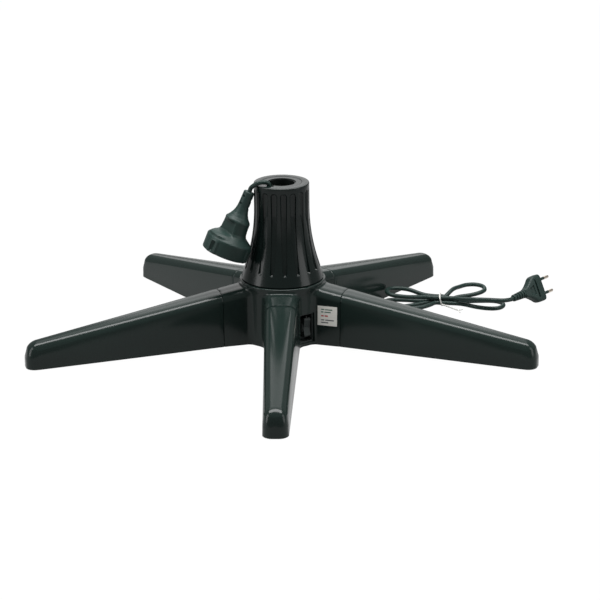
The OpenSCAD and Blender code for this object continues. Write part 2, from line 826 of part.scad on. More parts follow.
// a smooth line through the points p, with n steps from each to the next
function smooth_line(p, n) = let (m = len(p)) concat([for (i = [0 : m - 2]) for (j = [0 : n - 1])
    mix3(i > 0 ? p[i - 1] : 2 * p[0] - p[1], p[i], p[i + 1],
         i < m - 2 ? p[i + 2] : 2 * p[m - 1] - p[m - 2], j / n)],
    [p[m - 1]]);
function unit(v) = v / norm(v);
function heading(p, i) = unit(p[min(i + 1, len(p) - 1)] - p[max(i - 1, 0)]);
function tube_ring(p, i, r, sides, side_way) =
    let (t = heading(p, i), s = unit(cross(t, side_way)), u = cross(s, t))
    [for (k = [0 : sides - 1]) p[i] + r * (cos(360 * k / sides) * s + sin(360 * k / sides) * u)];

// one unbroken tube along the line p, from its point number first to its point number last
module tube(p, r, sides, first, last, side_way = [0, 0, 1]) {
    n = last - first + 1;
    points = [for (i = [first : last]) each tube_ring(p, i, r, sides, side_way)];
    walls = [for (i = [0 : n - 2]) for (k = [0 : sides - 1])
        let (a = i * sides + k, b = i * sides + (k + 1) % sides)
            each [[a, b, b + sides], [a, b + sides, a + sides]]];
    ends = [for (k = [1 : sides - 2]) each [[0, k + 1, k],
        [(n - 1) * sides, (n - 1) * sides + k, (n - 1) * sides + k + 1]]];
    polyhedron(points, concat(walls, ends));
}

// a point of the tie: how far along the bundle, how far to its back side, and how high
function tie_point(along, back, z) = [tie_at[0] + along * cos(tie_az) - back * sin(tie_az),
                                      tie_at[1] + along * sin(tie_az) + back * cos(tie_az), z];

// the four loops of the hank, two each way: heading, length, width, side of the tie, side of the loop
// on which it goes out, the places in the tie of its two runs, its heights at five points, the share of
// its width at which it goes out and comes back, and how far from the tie it comes down
low_place = [for (k = [-1 : 1]) [2 * k * slot_step, tie_low]];
high_place = [for (k = [-0.5, 0.5]) [2 * k * slot_step, tie_high]];
flat_loop = [3.4, 2.8, 2.8, 2.8, 3.4];
loops = [
    [-10, 80, 30, 1, -1, low_place[0], low_place[1], flat_loop, [0.36, 0.36], 10],
    [185, 76, 28, -1, 1, low_place[1], low_place[2], flat_loop, [0.36, 0.36], 10],
    [30.7, 63.9, 30.5, 1, -1, low_place[2], high_place[1], [8.3, 9.6, 13.1, 13.6, 15.1], [0.5, 0.32], 4.5],
    [177.5, 71, 28, -1, -1, high_place[1], high_place[0], [11, 15, 17, 13, 11], [0.36, 0.36], 10]];

function loop_point(l, along, back, z) = [tie_at[0] + along * cos(l[0]) - back * sin(l[0]),
                                          tie_at[1] + along * sin(l[0]) + back * cos(l[0]), z];
function end_height(z, a) = let (side = a > 0 ? z[1] : z[3], share = abs(a) / 90)
    z[2] + (side - z[2]) * (share > 0.9 ? 0.5 : share > 0.1 ? 0.3 : 0);
function loop_route(l) = let (w = l[2] / 2, e = l[4], c = l[1] - w, z = l[7])
    concat([tie_point(l[3] * 10, l[5][0], l[5][1]), loop_point(l, 0.42 * c, e * l[8][0] * w, z[0]),
            loop_point(l, 0.74 * c, e * 0.84 * w, z[1])],
           [for (a = [90 : -45 : -90]) loop_point(l, c + w * cos(a), e * w * sin(a), end_height(z, a))],
           [loop_point(l, 0.74 * c, -e * 0.84 * w, z[3]), loop_point(l, 0.42 * c, -e * l[8][1] * w, z[4]),
            tie_point(l[3] * l[9], l[6][0], l[6][1]), tie_point(0, l[6][0], l[6][1])]);
hank_from = tie_point(-8, -2 * slot_step, tie_low);
hank_to = tie_point(14, -slot_step, tie_high);

// the whole lead is one line: from the hub to the hank, through the tie five times, and on to the plug
lead_route = [[41.8, 13.6, gland_z], [58, 18.8, gland_z], [74.2, 24.1, gland_z], [80, 26, gland_z - 0.4],
              [88, 28.8, 18], [97, 32.5, 11], [105, 37.5, 5.5], [111.5, 45, 3], [115, 55, 2.8],
              [117.5, 67, 2.8], [119, 80, 2.8], [122, 92, 2.8], [129, 102, 2.8], [139, 108, 2.8],
              [151, 109, 2.8], [163, 109, 2.8], [175, 113, 2.9], [185, 120.5, 3.3]];
hank_route = concat([hank_from, tie_point(0, -2 * slot_step, tie_low)],
                    [for (l = loops) each loop_route(l)]);
plug_tail = plug_face - (plug_body_l + relief_l)
                        * [cos(plug_az) * cos(plug_rise), sin(plug_az) * cos(plug_rise), sin(plug_rise)];
plug_route = [hank_to, [225.2, 122.8, 10.8], [236.7, 116.4, 12.4], [247.7, 109.8, 14.3],
              [258.7, 104.6, 15.7], [268.7, 101.4, 16.2], [278.4, 101.4, 15.9], [287.1, 106.1, 15.4],
              plug_tail];
line_steps = 2;
mains_line = smooth_line(concat(lead_route, hank_route, plug_route), line_steps);
hank_first = line_steps * len(lead_route);
hank_last = hank_first + line_steps * len(hank_route);
// the least gap of the hank to itself, leaving out neighbours along the lead
near_rings = 4;
hank_gap = min([for (i = [hank_first : hank_last]) for (j = [i + near_rings + 1 : 1 : hank_last])
    norm(mains_line[i] - mains_line[j])]) - lead_d;
echo(hank_gap = hank_gap);

module mains_lead() { color(dark_green) tube(mains_line, lead_r, 8, 0, hank_first); }

module mains_hank() { color(dark_green) tube(mains_line, lead_r, 6, hank_first, hank_last); }

module plug_lead() { color(dark_green) tube(mains_line, lead_r, 8, hank_last, len(mains_line) - 1); }

module at_plug()
    translate(plug_face) rotate([0, 0, plug_az]) rotate([0, -plug_rise, 0]) rotate([plug_roll, 0, 0])
        children();

module mains_plug() {
    w = plug_w / 2;
    n = plug_neck_w / 2;
    color(dark_green) at_plug() {
        rotate([90, 0, 0]) linear_extrude(plug_t, center = true) {
            polygon([[-plug_body_l, -n], [-8, -w], [-2, -w], [0, -w + 2],
                     [0, w - 2], [-2, w], [-8, w], [-plug_body_l, n]]);
        }
        rotate([0, -90, 0]) difference() {
            translate([0, 0, plug_body_l - 1]) cylinder(r1 = 6, r2 = 3.9, h = relief_l + 1);
            for (k = [0 : 3]) translate([0, 0, plug_body_l + 2 + 3.6 * k]) difference() {
                cylinder(r = 9, h = 1.5);
                cylinder(r = 3.4, h = 1.5);
            }
        }
    }
}

module plug_pins() {
    color(brass) at_plug() for (s = [-1, 1]) translate([0, 0, s * pin_gap / 2]) rotate([0, 90, 0])
        cylinder(r = pin_r, h = pin_l);
}

module cord_tie() {
    top = tie_high + lead_r + 0.15;
    inner = 2 * slot_step + lead_r + 0.1;
    color(paper_white) translate(tie_at) rotate([0, 0, tie_az]) {
        difference() {
            tie_band(inner + 0.8, top + 0.7, 2.4);
            tie_band(inner, top, 3, 0.75);
        }
        for (a = [-44, -36]) translate([0, -inner - 0.4, 1.2]) rotate([0, 90, a]) cylinder(r = 1, h = 33);
    }
}

module tie_band(half, top, len, bottom = 0) {
    rotate([90, 0, 90]) linear_extrude(len, center = true)
        polygon([[-half, bottom], [half, bottom], [half, top - 5], [half - 3.5, top],
                 [-half + 3.5, top], [-half, top - 5]]);
}

// ---- hanging outlet ----------------------------------------------------------------------------

module at_outlet()
    translate(outlet_face) rotate([0, 0, outlet_turn]) rotate([0, outlet_lean, 0]) children();

module outlet_coupler() {
    color(dark_green) at_outlet() difference() {
        union() {
            rotate_extrude() polygon([[0, 0], [outlet_r - 0.8, 0], [outlet_r, 0.8], [outlet_r, outlet_rim],
                [outlet_r - 2.5, outlet_rim + 2.5], [16, 29], [15.2, 34], [15.6, 43], [14.6, 46],
                [9, 51], [7.4, 57], [6.4, 60], [4.4, outlet_l], [0, outlet_l]]);
            rotate([0, 0, 180]) translate([outlet_r - 3, -4.5, 0]) cube([6, 9, outlet_rim + 1]);
            for (a = [0, 180]) rotate([0, 0, a]) translate([8, -6, 33]) cube([9, 12, 11]);
        }
        translate([0, 0, -1]) cylinder(r = socket_r, h = socket_depth + 1);
        for (s = [-1, 1]) translate([0, s * contact_gap / 2, 0]) cylinder(r = contact_r, h = 34);
        rotate([0, 0, 180]) translate([outlet_r + 0.6, -1, 3]) cube([5, 2, 13]);
        for (k = [0 : 3]) translate([0, 0, 62 + 4.6 * k]) difference() {
            cylinder(r = 9, h = 1.5);
            cylinder(r = 3.5, h = 1.5);
        }
    }
}

module outlet_contacts() {
    color(brass) at_outlet() for (s = [-1, 1]) translate([0, s * contact_gap / 2, 17]) difference() {
        cylinder(r = contact_r, h = 16);
        translate([0, 0, -1]) cylinder(r = 2.05, h = 16);
    }
}

outlet_way = [sin(outlet_lean) * cos(outlet_turn), sin(outlet_lean) * sin(outlet_turn), cos(outlet_lean)];
outlet_tail = outlet_face + outlet_way * outlet_l;
wire_x = wire_r * cos(wire_az);
wire_y = wire_r * sin(wire_az);
outlet_route = [[wire_x, wire_y, core_top], [wire_x, wire_y, 195.5], [wire_x, wire_y, 201.2],
                [-16, -16.2, 205], [-21, -18, 206.5], [-27, -18.9, 205.6], [-32.9, -17.4, 202],
                outlet_tail + outlet_way * 5, outlet_tail + outlet_way * 2.5, outlet_tail];

outlet_line = smooth_line(outlet_route, line_steps);

module outlet_cord() {
    color(dark_green) tube(outlet_line, outlet_cord_r, 8, 0, len(outlet_line) - 1, [0.1, 1, 0]);
}

// ---- what is drawn -----------------------------------------------------------------------------

hub_housing();
hub_bottom_cover();
cover_screws();
at_leg(0) leg();  // leg_front
at_leg(1) leg();  // leg_right
at_leg(2) leg();  // leg_back_right
at_leg(3) leg();  // leg_back_left
at_leg(4) leg();  // leg_left
leg_screws();
foot_pads();
spindle_bushing();
lower_race();
drive_motor();
motor_screws();
brush_holder();
brushes();
brush_springs();
terminal_block();
hub_wiring();
switch_bezel();
switch_body();
switch_screws();
rating_label();
cord_gland();
mains_lead();
mains_hank();
plug_lead();
mains_plug();
plug_pins();
cord_tie();
turntable();
pole_tube();
fluted_cone();
cone_cap();
cone_screws();
retaining_ring();
upper_race();
drive_gear();
slip_drum();
slip_rings();
rotor_wiring();
outlet_cord();
outlet_coupler();
outlet_contacts();
bearing_balls();
ball_cage();
motor_pinion();
motor_shaft();
switch_rocker();
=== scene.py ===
"""Looks of the rotating tree stand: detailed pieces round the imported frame, materials, light and camera.

Lengths in the formulas are in millimetres, in the frame's own axes: +Z up, the front leg towards -Y.
A skin is found by shooting rays from inside a solid that a formula describes: where a ray meets the value
`level` of that formula is a point of the surface.
"""

import json
import math

import bpy
import numpy as np
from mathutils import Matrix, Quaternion, Vector


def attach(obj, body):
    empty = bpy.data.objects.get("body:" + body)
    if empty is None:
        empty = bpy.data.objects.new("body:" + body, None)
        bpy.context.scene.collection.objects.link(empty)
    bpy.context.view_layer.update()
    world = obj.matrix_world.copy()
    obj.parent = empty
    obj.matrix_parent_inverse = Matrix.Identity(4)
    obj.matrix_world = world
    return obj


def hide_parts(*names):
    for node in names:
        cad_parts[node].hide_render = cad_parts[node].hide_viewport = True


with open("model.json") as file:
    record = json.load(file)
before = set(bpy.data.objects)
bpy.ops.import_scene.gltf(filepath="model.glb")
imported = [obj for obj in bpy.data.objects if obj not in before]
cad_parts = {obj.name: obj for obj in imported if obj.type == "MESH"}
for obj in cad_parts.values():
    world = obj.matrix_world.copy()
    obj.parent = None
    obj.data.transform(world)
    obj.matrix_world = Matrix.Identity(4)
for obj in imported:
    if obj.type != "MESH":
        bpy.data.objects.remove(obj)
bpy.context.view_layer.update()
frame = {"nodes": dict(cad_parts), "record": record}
scene = bpy.context.scene
MM = 0.001


# ---- camera -----------------------------------------------------------------------------------------
CAMERA_AT, CAMERA_TARGET = (0.073219, -2.394718, 0.873567), (0.021124, 0.0, 0.051716)
LENS, SENSOR, ROLL = 124.0, 36.0, math.radians(-0.485)


def make_camera():
    """The camera: its place, aim, lens and small roll were solved from the photo."""
    data = bpy.data.cameras.new("camera")
    data.lens = LENS
    data.sensor_width = SENSOR
    data.clip_end = 50.0
    cam = bpy.data.objects.new("camera", data)
    scene.collection.objects.link(cam)
    cam.location = CAMERA_AT
    ahead = (Vector(CAMERA_TARGET) - cam.location).to_track_quat("-Z", "Y")
    cam.rotation_euler = (ahead @ Quaternion((0, 0, 1), ROLL)).to_euler()
    scene.camera = cam


make_camera()


# ---- meshes -----------------------------------------------------------------------------------------
def make_piece(name, points, faces, body, sharp):
    """A mesh object from points in millimetres and faces; edges steeper than `sharp` degrees stay crisp."""
    mesh = bpy.data.meshes.new(name)
    mesh.from_pydata((np.asarray(points, dtype=float) * MM).tolist(), [], faces)
    mesh.validate()
    mesh.shade_smooth()
    mesh.set_sharp_from_angle(angle=math.radians(sharp))
    piece = bpy.data.objects.new(name, mesh)
    scene.collection.objects.link(piece)
    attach(piece, body)
    return piece


def grid_faces(rows, cols, start=0, wrap=False, flip=False):
    """Quads over a rows x cols grid of points, closed along the columns if `wrap`."""
    faces = []
    for i in range(rows - 1):
        for j in range(cols if wrap else cols - 1):
            a, b = start + i * cols + j, start + i * cols + (j + 1) % cols
            quad = (a, b, b + cols, a + cols)
            faces.append(quad[::-1] if flip else quad)
    return faces


class Sheets:
    """Gathers grids into one mesh."""

    def __init__(self):
        self.points, self.faces, self.count = [], [], 0

    def add(self, grid, wrap=False, flip=False, caps=(False, False)):
        rows, cols = grid.shape[:2]
        start = self.count
        self.points.append(grid.reshape(-1, 3))
        self.faces += grid_faces(rows, cols, start, wrap, flip)
        if caps[0]:
            ring = tuple(range(start, start + cols))
            self.faces.append(ring if flip else ring[::-1])
        if caps[1]:
            ring = tuple(range(start + (rows - 1) * cols, start + rows * cols))
            self.faces.append(ring[::-1] if flip else ring)
        self.count += rows * cols

    def piece(self, name, body, sharp=35.0):
        return make_piece(name, np.concatenate(self.points), self.faces, body, sharp)


def shoot(origin, way, field, level=0.0, reach=420.0):
    """Where rays from `origin` along `way` leave the solid field < level, by halving 36 times."""
    origin, way = np.broadcast_arrays(origin, way)
    near, far = np.zeros(origin.shape[:-1]), np.full(origin.shape[:-1], reach)
    for _ in range(36):
        mid = (near + far) / 2
        p = origin + mid[..., None] * way
        inside = field(p[..., 0], p[..., 1], p[..., 2]) < level
        near, far = np.where(inside, mid, near), np.where(inside, far, mid)
    return origin + near[..., None] * way


def turn_z(p, degrees):
    """The points turned about the Z axis."""
    c, s = math.cos(math.radians(degrees)), math.sin(math.radians(degrees))
    return np.stack([p[..., 0] * c - p[..., 1] * s, p[..., 0] * s + p[..., 1] * c, p[..., 2]], axis=-1)


def rounded(a, b, r):
    """Signed distance to a quarter-round of radius r whose centre is at a = b = 0."""
    return np.hypot(np.maximum(a, 0), np.maximum(b, 0)) + np.minimum(np.maximum(a, b), 0) - r


def soft_max(a, b, k):
    """The larger of a and b, with the crease between them rounded over a width of k."""
    h = np.maximum(k - np.abs(a - b), 0) / np.maximum(k, 1e-6)
    return np.maximum(a, b) + h * h * k / 4


def fillet_union(a, b, r):
    """The union of two solids with a round fillet of radius r in the corner between them."""
    return np.maximum(r, np.minimum(a, b)) - np.hypot(np.maximum(r - a, 0), np.maximum(r - b, 0))


def smooth(x):
    """0 below 0, 1 above 1, and 3 x^2 - 2 x^3 between."""
    x = np.clip(x, 0, 1)
    return x * x * (3 - 2 * x)


# ---- cords ------------------------------------------------------------------------------------------
def smooth_line(points, steps):
    """A Catmull-Rom line through the points, with `steps` steps from each to the next."""
    p = np.asarray(points, dtype=float)
    p = np.concatenate([[2 * p[0] - p[1]], p, [2 * p[-1] - p[-2]]])
    line = []
    for a, b, c, d in zip(p[:-3], p[1:-2], p[2:-1], p[3:]):
        for j in range(steps):
            t = j / steps
            line.append(0.5 * (2 * b + (c - a) * t + (2 * a - 5 * b + 4 * c - d) * t * t
                               + (3 * b - a - 3 * c + d) * t ** 3))
    return np.array(line + [p[-2]])


def tube_grid(line, radius, sides):
    """Rings round a line, carried along it without twist. radius is one number or one per point."""
    ways = np.gradient(line, axis=0)
    ways /= np.linalg.norm(ways, axis=1)[:, None]
    radii = np.broadcast_to(radius, len(line))
    side = np.cross(ways[0], [0.3, 0.2, 1.0])
    side /= np.linalg.norm(side)
    angles = np.linspace(0, 2 * math.pi, sides, endpoint=False)
    rings = []
    for p, t, r in zip(line, ways, radii):
        side = side - t * np.dot(side, t)
        side /= np.linalg.norm(side)
        up = np.cross(t, side)
        rings.append(p + r * (np.cos(angles)[:, None] * side + np.sin(angles)[:, None] * up))
    return np.array(rings)


LEAD_D, OUTLET_CORD_D = 5.5, 5.4
TIE_AT, TIE_AZ, SLOT = (201.2, 134.0), -5.0, 3.3
GLAND_Z = 21.5
TIE_LOW, TIE_HIGH = 3.75, 9.45
PLUG_AZ, PLUG_RISE, PLUG_ROLL, PLUG_TAIL = 42, 4.3, -24, 51
OUTLET_TAIL = 82


def tie_point(along, back, z):
    """From the tie's own axes, along the bundle and across it, to the stand's."""
    c, s = math.cos(math.radians(TIE_AZ)), math.sin(math.radians(TIE_AZ))
    return (TIE_AT[0] + along * c - back * s, TIE_AT[1] + along * s + back * c, z)


def loop_route(heading, length, width, side, out, place_out, place_back, z, widen=0.36, narrow=0.36, near=10):
    """One loop of the hank: out from the tie, round a half circle and back, at five heights."""
    c, s = math.cos(math.radians(heading)), math.sin(math.radians(heading))
    w, reach = width / 2, length - width / 2

    def at(along, back, height):
        return (TIE_AT[0] + along * c - back * s, TIE_AT[1] + along * s + back * c, height)

    def end_height(a):
        share = 0.5 if abs(a) > 80 else 0.3 if abs(a) > 10 else 0.0
        return z[2] + ((z[1] if a > 0 else z[3]) - z[2]) * share

    run = [tie_point(side * 10, *place_out), at(0.42 * reach, out * widen * w, z[0]),
           at(0.74 * reach, out * 0.84 * w, z[1])]
    run += [at(reach + w * math.cos(math.radians(a)), out * w * math.sin(math.radians(a)), end_height(a))
            for a in (90, 45, 0, -45, -90)]
    return run + [at(0.74 * reach, -out * 0.84 * w, z[3]), at(0.42 * reach, -out * narrow * w, z[4]),
                  tie_point(side * near, *place_back), tie_point(0, *place_back)]


low = [(2 * k * SLOT, TIE_LOW) for k in (-1, 0, 1)]
high = [(2 * k * SLOT, TIE_HIGH) for k in (-0.5, 0.5)]
flat = (3.4, 2.8, 2.8, 2.8, 3.4)
hank_from = tie_point(-8, -2 * SLOT, TIE_LOW)
hank_to = tie_point(14, -SLOT, TIE_HIGH)
plug_face = np.array((329.0, 143.9, 19.6))
plug_az, plug_rise = math.radians(PLUG_AZ), math.radians(PLUG_RISE)
plug_way = np.array((math.cos(plug_az) * math.cos(plug_rise), math.sin(plug_az) * math.cos(plug_rise),
                     math.sin(plug_rise)))
mains_route = [(72.3, 23.5, GLAND_Z), (77, 25, GLAND_Z - 0.1), (82, 26.7, GLAND_Z - 0.9), (89, 29.2, 17.2),
               (97, 32.5, 11), (105, 37.5, 5.5), (111.5, 45, 3), (115, 55, 2.8), (117.5, 67, 2.8),
               (119, 80, 2.8), (122, 92, 2.8), (129, 102, 2.8), (139, 108, 2.8), (151, 109, 2.8),
               (163, 109, 2.8), (175, 113, 2.9), (185, 120.5, 3.3), hank_from,
               tie_point(0, -2 * SLOT, TIE_LOW)]
mains_route += loop_route(-10, 80, 30, 1, -1, low[0], low[1], flat)
mains_route += loop_route(185, 76, 28, -1, 1, low[1], low[2], flat)
mains_route += loop_route(30.7, 63.9, 30.5, 1, -1, low[2], high[1], (8.3, 9.6, 13.1, 13.6, 15.1),
                          0.5, 0.32, 4.5)
mains_route += loop_route(177.5, 71, 28, -1, -1, high[1], high[0], (11, 15, 17, 13, 11))
mains_route += [hank_to, (225.2, 122.8, 10.8), (236.7, 116.4, 12.4), (247.7, 109.8, 14.3),
                (258.7, 104.6, 15.7), (268.7, 101.4, 16.2), (278.4, 101.4, 15.9), (287.1, 106.1, 15.4),
                tuple(plug_face - PLUG_TAIL * plug_way)]
mains_line = smooth_line(mains_route, 6)
mains = Sheets()
mains.add(tube_grid(mains_line, LEAD_D / 2, 16), wrap=True, caps=(True, True))
mains_cable = mains.piece("mains_cable", "base")
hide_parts("mains_lead", "mains_hank", "plug_lead")

WIRE_R, WIRE_AZ = 20.8, math.radians(-132)
WIRE = (WIRE_R * math.cos(WIRE_AZ), WIRE_R * math.sin(WIRE_AZ))
LEAN, TURN = math.radians(23.3), math.radians(12.5)
outlet_face = np.array((-69.6, -23.0, 119.0))
outlet_way = np.array((math.sin(LEAN) * math.cos(TURN), math.sin(LEAN) * math.sin(TURN), math.cos(LEAN)))
outlet_tail = outlet_face + OUTLET_TAIL * outlet_way
outlet_route = [(WIRE[0], WIRE[1], 190), (WIRE[0], WIRE[1], 195.5), (WIRE[0], WIRE[1], 201.2),
                (-16, -16.2, 205), (-21, -18, 206.5), (-27, -18.9, 205.6), (-32.9, -17.4, 202),
                tuple(outlet_tail + 5 * outlet_way), tuple(outlet_tail + 2.5 * outlet_way),
                tuple(outlet_tail)]
outlet_line = smooth_line(outlet_route, 8)
outlet = Sheets()
outlet.add(tube_grid(outlet_line, OUTLET_CORD_D / 2, 16), wrap=True, caps=(True, True))
outlet_cable = outlet.piece("outlet_cable", "rotor")
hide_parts("outlet_cord")


# ---- legs -------------------------------------------------------------------------------------------
LEG_R0, LEG_Z0, FLAT0 = 70.0, 73.7, 11.7
LEG_END, LEG_Z1, FLAT1, SEAM = 320.0, 30.6, 6.0, 80.0
FALL = math.atan((LEG_Z0 - LEG_Z1) / (LEG_END - LEG_R0))
TAPER = math.atan((FLAT0 - FLAT1) / (LEG_END - LEG_R0))
EDGE_R, DRAFT, CROWN, UNDER_FALL = 8.0, 0.028, 1.0, 5.7
TIP_TOP_R, TIP_SIDE_R, TIP_FAN = 15.0, 11.0, 303.0
LEG_WALL, SEAM_STEP, SEAM_GAP, TONGUE_OUT, TONGUE_IN = 2.6, 0.6, 0.25, 3.25, 5.75
RIB_ROWS, RIB_T = (0, 9, 14, 19), 2.4
HUB_R, HUB_Z, DECK_Z = 51.0, 7.0, 82.0
LEGS = ("leg_front", "leg_right", "leg_back_right", "leg_back_left", "leg_left")


def leg_top(x):
    """Height of a leg's top at x. It falls evenly outwards."""
    return LEG_Z0 - math.tan(FALL) * (x - LEG_R0)


def leg_flat(x):
    """Half the width of a leg's top between its round edges. It narrows evenly outwards."""
    return FLAT0 - math.tan(TAPER) * (x - LEG_R0)


def leg_under(x):
    """Height of a leg's lower edge. It falls evenly from the seam to the tip."""
    return HUB_Z - UNDER_FALL * np.clip((x - SEAM) / (LEG_END - SEAM), 0, 1)


def edge_frame(x, y, z):
    """How far a point is outside the edge of the top, sideways and upwards. The top is crowned by 1 mm."""
    qx, qy, qz = x - LEG_R0, np.abs(y) - FLAT0, z - LEG_Z0
    out = qx * math.sin(TAPER) + qy * math.cos(TAPER)
    along = qx * math.cos(TAPER) - qy * math.sin(TAPER)
    up = along * math.sin(FALL) + qz * math.cos(FALL)
    share = np.minimum(np.abs(y) / leg_flat(x), 2)
    return out, up + CROWN * (share * share - 0.4)


def long_form(x, y, z):
    """A leg without its end: a top that falls and narrows, round edges of 8 mm, sides with a little draft."""
    out, up = edge_frame(x, y, z)
    return rounded(out - DRAFT * np.maximum(-up - EDGE_R, 0), up + EDGE_R, EDGE_R)


def round_end(x, start, radius):
    """How much a quarter circle that begins at `start` has fallen away at x."""
    e = np.clip((x - start) / radius, 0, 0.99995)
    return radius * (1 - np.sqrt(1 - e * e))


def leg_form(x, y, z):
    """The long form with its tip: top and sides fall away along arcs of 15 mm and 11 mm to the end.

    Over the last millimetre before the seam the skin is drawn in by 0.6 mm.
    """
    out, up = edge_frame(x, y, z)
    draft = DRAFT * np.maximum(-up - EDGE_R, 0)
    side = out + round_end(x, LEG_END - TIP_SIDE_R, TIP_SIDE_R) - draft
    body = rounded(side, up + round_end(x, LEG_END - TIP_TOP_R, TIP_TOP_R) + EDGE_R, EDGE_R)
    return np.maximum(body, x - LEG_END) + SEAM_STEP * smooth((SEAM + 1.3 - x) / 1.0)


def leg_grid(level):
    """Half sections along the leg, then a fan round its tip, then back along the other side."""
    x0 = SEAM + SEAM_GAP
    runs = np.concatenate([[x0, x0 + 0.3, x0 + 0.7, x0 + 1.2], np.linspace(x0 + 6, 292.6, 21),
                           [298, 301, TIP_FAN]])
    fan = np.radians(np.linspace(0, 90, 25))
    origin_x = np.concatenate([runs, np.full(48, TIP_FAN), runs[::-1]])
    way = np.concatenate([np.zeros(len(runs)), fan[1:], (math.pi - fan)[:-1][::-1],
                          np.full(len(runs), math.pi)])
    way = np.stack([np.sin(way), -np.cos(way)], axis=-1)
    top, half = leg_top(origin_x), leg_flat(origin_x)
    mid = 0.42 * top
    low_z = leg_under(origin_x)
    sides = [(low_z + (mid - low_z) * t, np.zeros_like(mid)) for t in np.linspace(0, 1, 6)]
    for a in np.radians(range(0, 91, 9)):
        z = top - EDGE_R + EDGE_R * math.sin(a) - mid
        sides.append((mid, np.arctan2(z, half + EDGE_R * math.cos(a))))
    for share in (0.88, 0.75, 0.6, 0.45, 0.3, 0.15, 0.0):
        sides.append((mid, np.arctan2(top - mid, half * share)))
    z0 = np.stack([s[0] for s in sides], axis=1)
    rise = np.stack([s[1] for s in sides], axis=1)
    origin = np.stack([np.broadcast_to(origin_x[:, None], z0.shape), np.zeros_like(z0), z0], axis=-1)
    aim = np.stack([way[:, None, 0] * np.cos(rise), way[:, None, 1] * np.cos(rise), np.sin(rise)], axis=-1)
    return shoot(origin, aim, leg_form, level)


def rib(grid, row, thick):
    """A plate across the leg's hollow, filling the section of the inner skin at one of its rows."""
    left, right = grid[row], grid[len(grid) - 1 - row]
    ring = np.concatenate([left, right[::-1][1:]])
    back = ring + np.array([thick, 0, 0])
    return np.stack([ring, back])


def make_leg(name, k):
    """A hollow leg: outer skin, rim, inner skin, ribs, and the tongue that goes into the hub's stub."""
    outer, inner = leg_grid(0.0), leg_grid(-LEG_WALL)
    parts = Sheets()
    parts.add(outer)
    parts.add(inner, flip=True)
    parts.add(np.stack([inner[:, 0], outer[:, 0]]), flip=True)
    for row in RIB_ROWS:
        parts.add(rib(inner, row, RIB_T), wrap=True, caps=(True, True))
    parts.add(np.stack([outer[0], inner[0]]), flip=True)
    parts.add(np.stack([outer[-1], inner[-1]]))
    xs = np.array([58.0, 70.0, 80.5])
    sides = [tongue_grid(-depth, xs) for depth in (TONGUE_OUT, TONGUE_IN)]
    for side, flip in zip(sides, (False, True)):
        parts.add(side, flip=flip)
    parts.add(np.stack([side[0] for side in sides]), flip=True)
    parts.points = [turn_z(p, -90 + 72 * k) for p in parts.points]
    piece = parts.piece(name + "_skin", "base", 40.0)
    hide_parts(name)
    return piece


def tongue_grid(level, xs):
    """Full sections of the long form, from one lower edge over the top to the other."""
    rows = []
    for x in xs:
        z0 = np.concatenate([[8.0, 20.0], np.full(17, 30.0), [20.0, 8.0]])
        rise = np.radians(np.concatenate([[0, 0], np.linspace(0, 180, 17), [180, 180]]))
        origin = np.stack([np.full_like(z0, x), np.zeros_like(z0), z0], axis=-1)
        aim = np.stack([np.zeros_like(rise), -np.cos(rise), np.sin(rise)], axis=-1)
        rows.append(shoot(origin, aim, long_form, level))
    return np.array(rows)


legs = [make_leg(name, k) for k, name in enumerate(LEGS)]


# ---- hub --------------------------------------------------------------------------------------------
FAN_Z = 59.0
POCKET_U, POCKET_COLS = 24.46, 9
POCKET_Z = (10.8, 48.2)
HUB_WALL = 3.0


def hub_form(x, y, z):
    """The round hub with its collar, joined to one stub by a fillet of 2.5 mm above and 5 mm beside it."""
    r = np.hypot(x, y)
    wall = r - HUB_R - 1.4 * smooth((z - 72) / 7)
    stub = soft_max(long_form(x, y, z), x - 200, 0.1)
    body = fillet_union(wall, np.where(x > 0, stub, 99.0), 2.5 + 2.5 * smooth((np.abs(y) - 9) / 9))
    return soft_max(body, z - DECK_Z, 1.2)


def stub_edge(z0, slope, level):
    """The azimuth, in degrees, at which a ray meets the stub's side just at the seam."""
    near, far = np.zeros_like(z0), np.full_like(z0, 30.0)
    for _ in range(30):
        mid = (near + far) / 2
        y = SEAM * np.tan(np.radians(mid))
        inside = hub_form(np.full_like(y, SEAM), y, z0 + slope * SEAM) < level
        near, far = np.where(inside, mid, near), np.where(inside, far, mid)
    return near


def hub_rows():
    """Start height and slope of every row of rays, and how many rows end at a stub's open face."""
    k0 = (leg_top(SEAM) - FAN_Z) / SEAM
    flats = [HUB_Z, 8.0, POCKET_Z[0], 15, 20, 26, 33, 40, POCKET_Z[1], 52, 57, FAN_Z]
    face = [0.035, 0.06, 0.078, 0.091, 0.104, 0.117, 0.13, 0.141, 0.149, 0.156, k0]
    above = list(np.linspace(k0, 0.46, 27)[1:]) + [0.475, 0.49, 0.5, 0.52, 0.56, 0.62, 0.7, 0.85, 1.1, 1.6]
    z0 = np.array(flats + [FAN_Z] * len(face + above))
    return z0, np.array([0.0] * len(flats) + face + above), len(flats) + len(face)


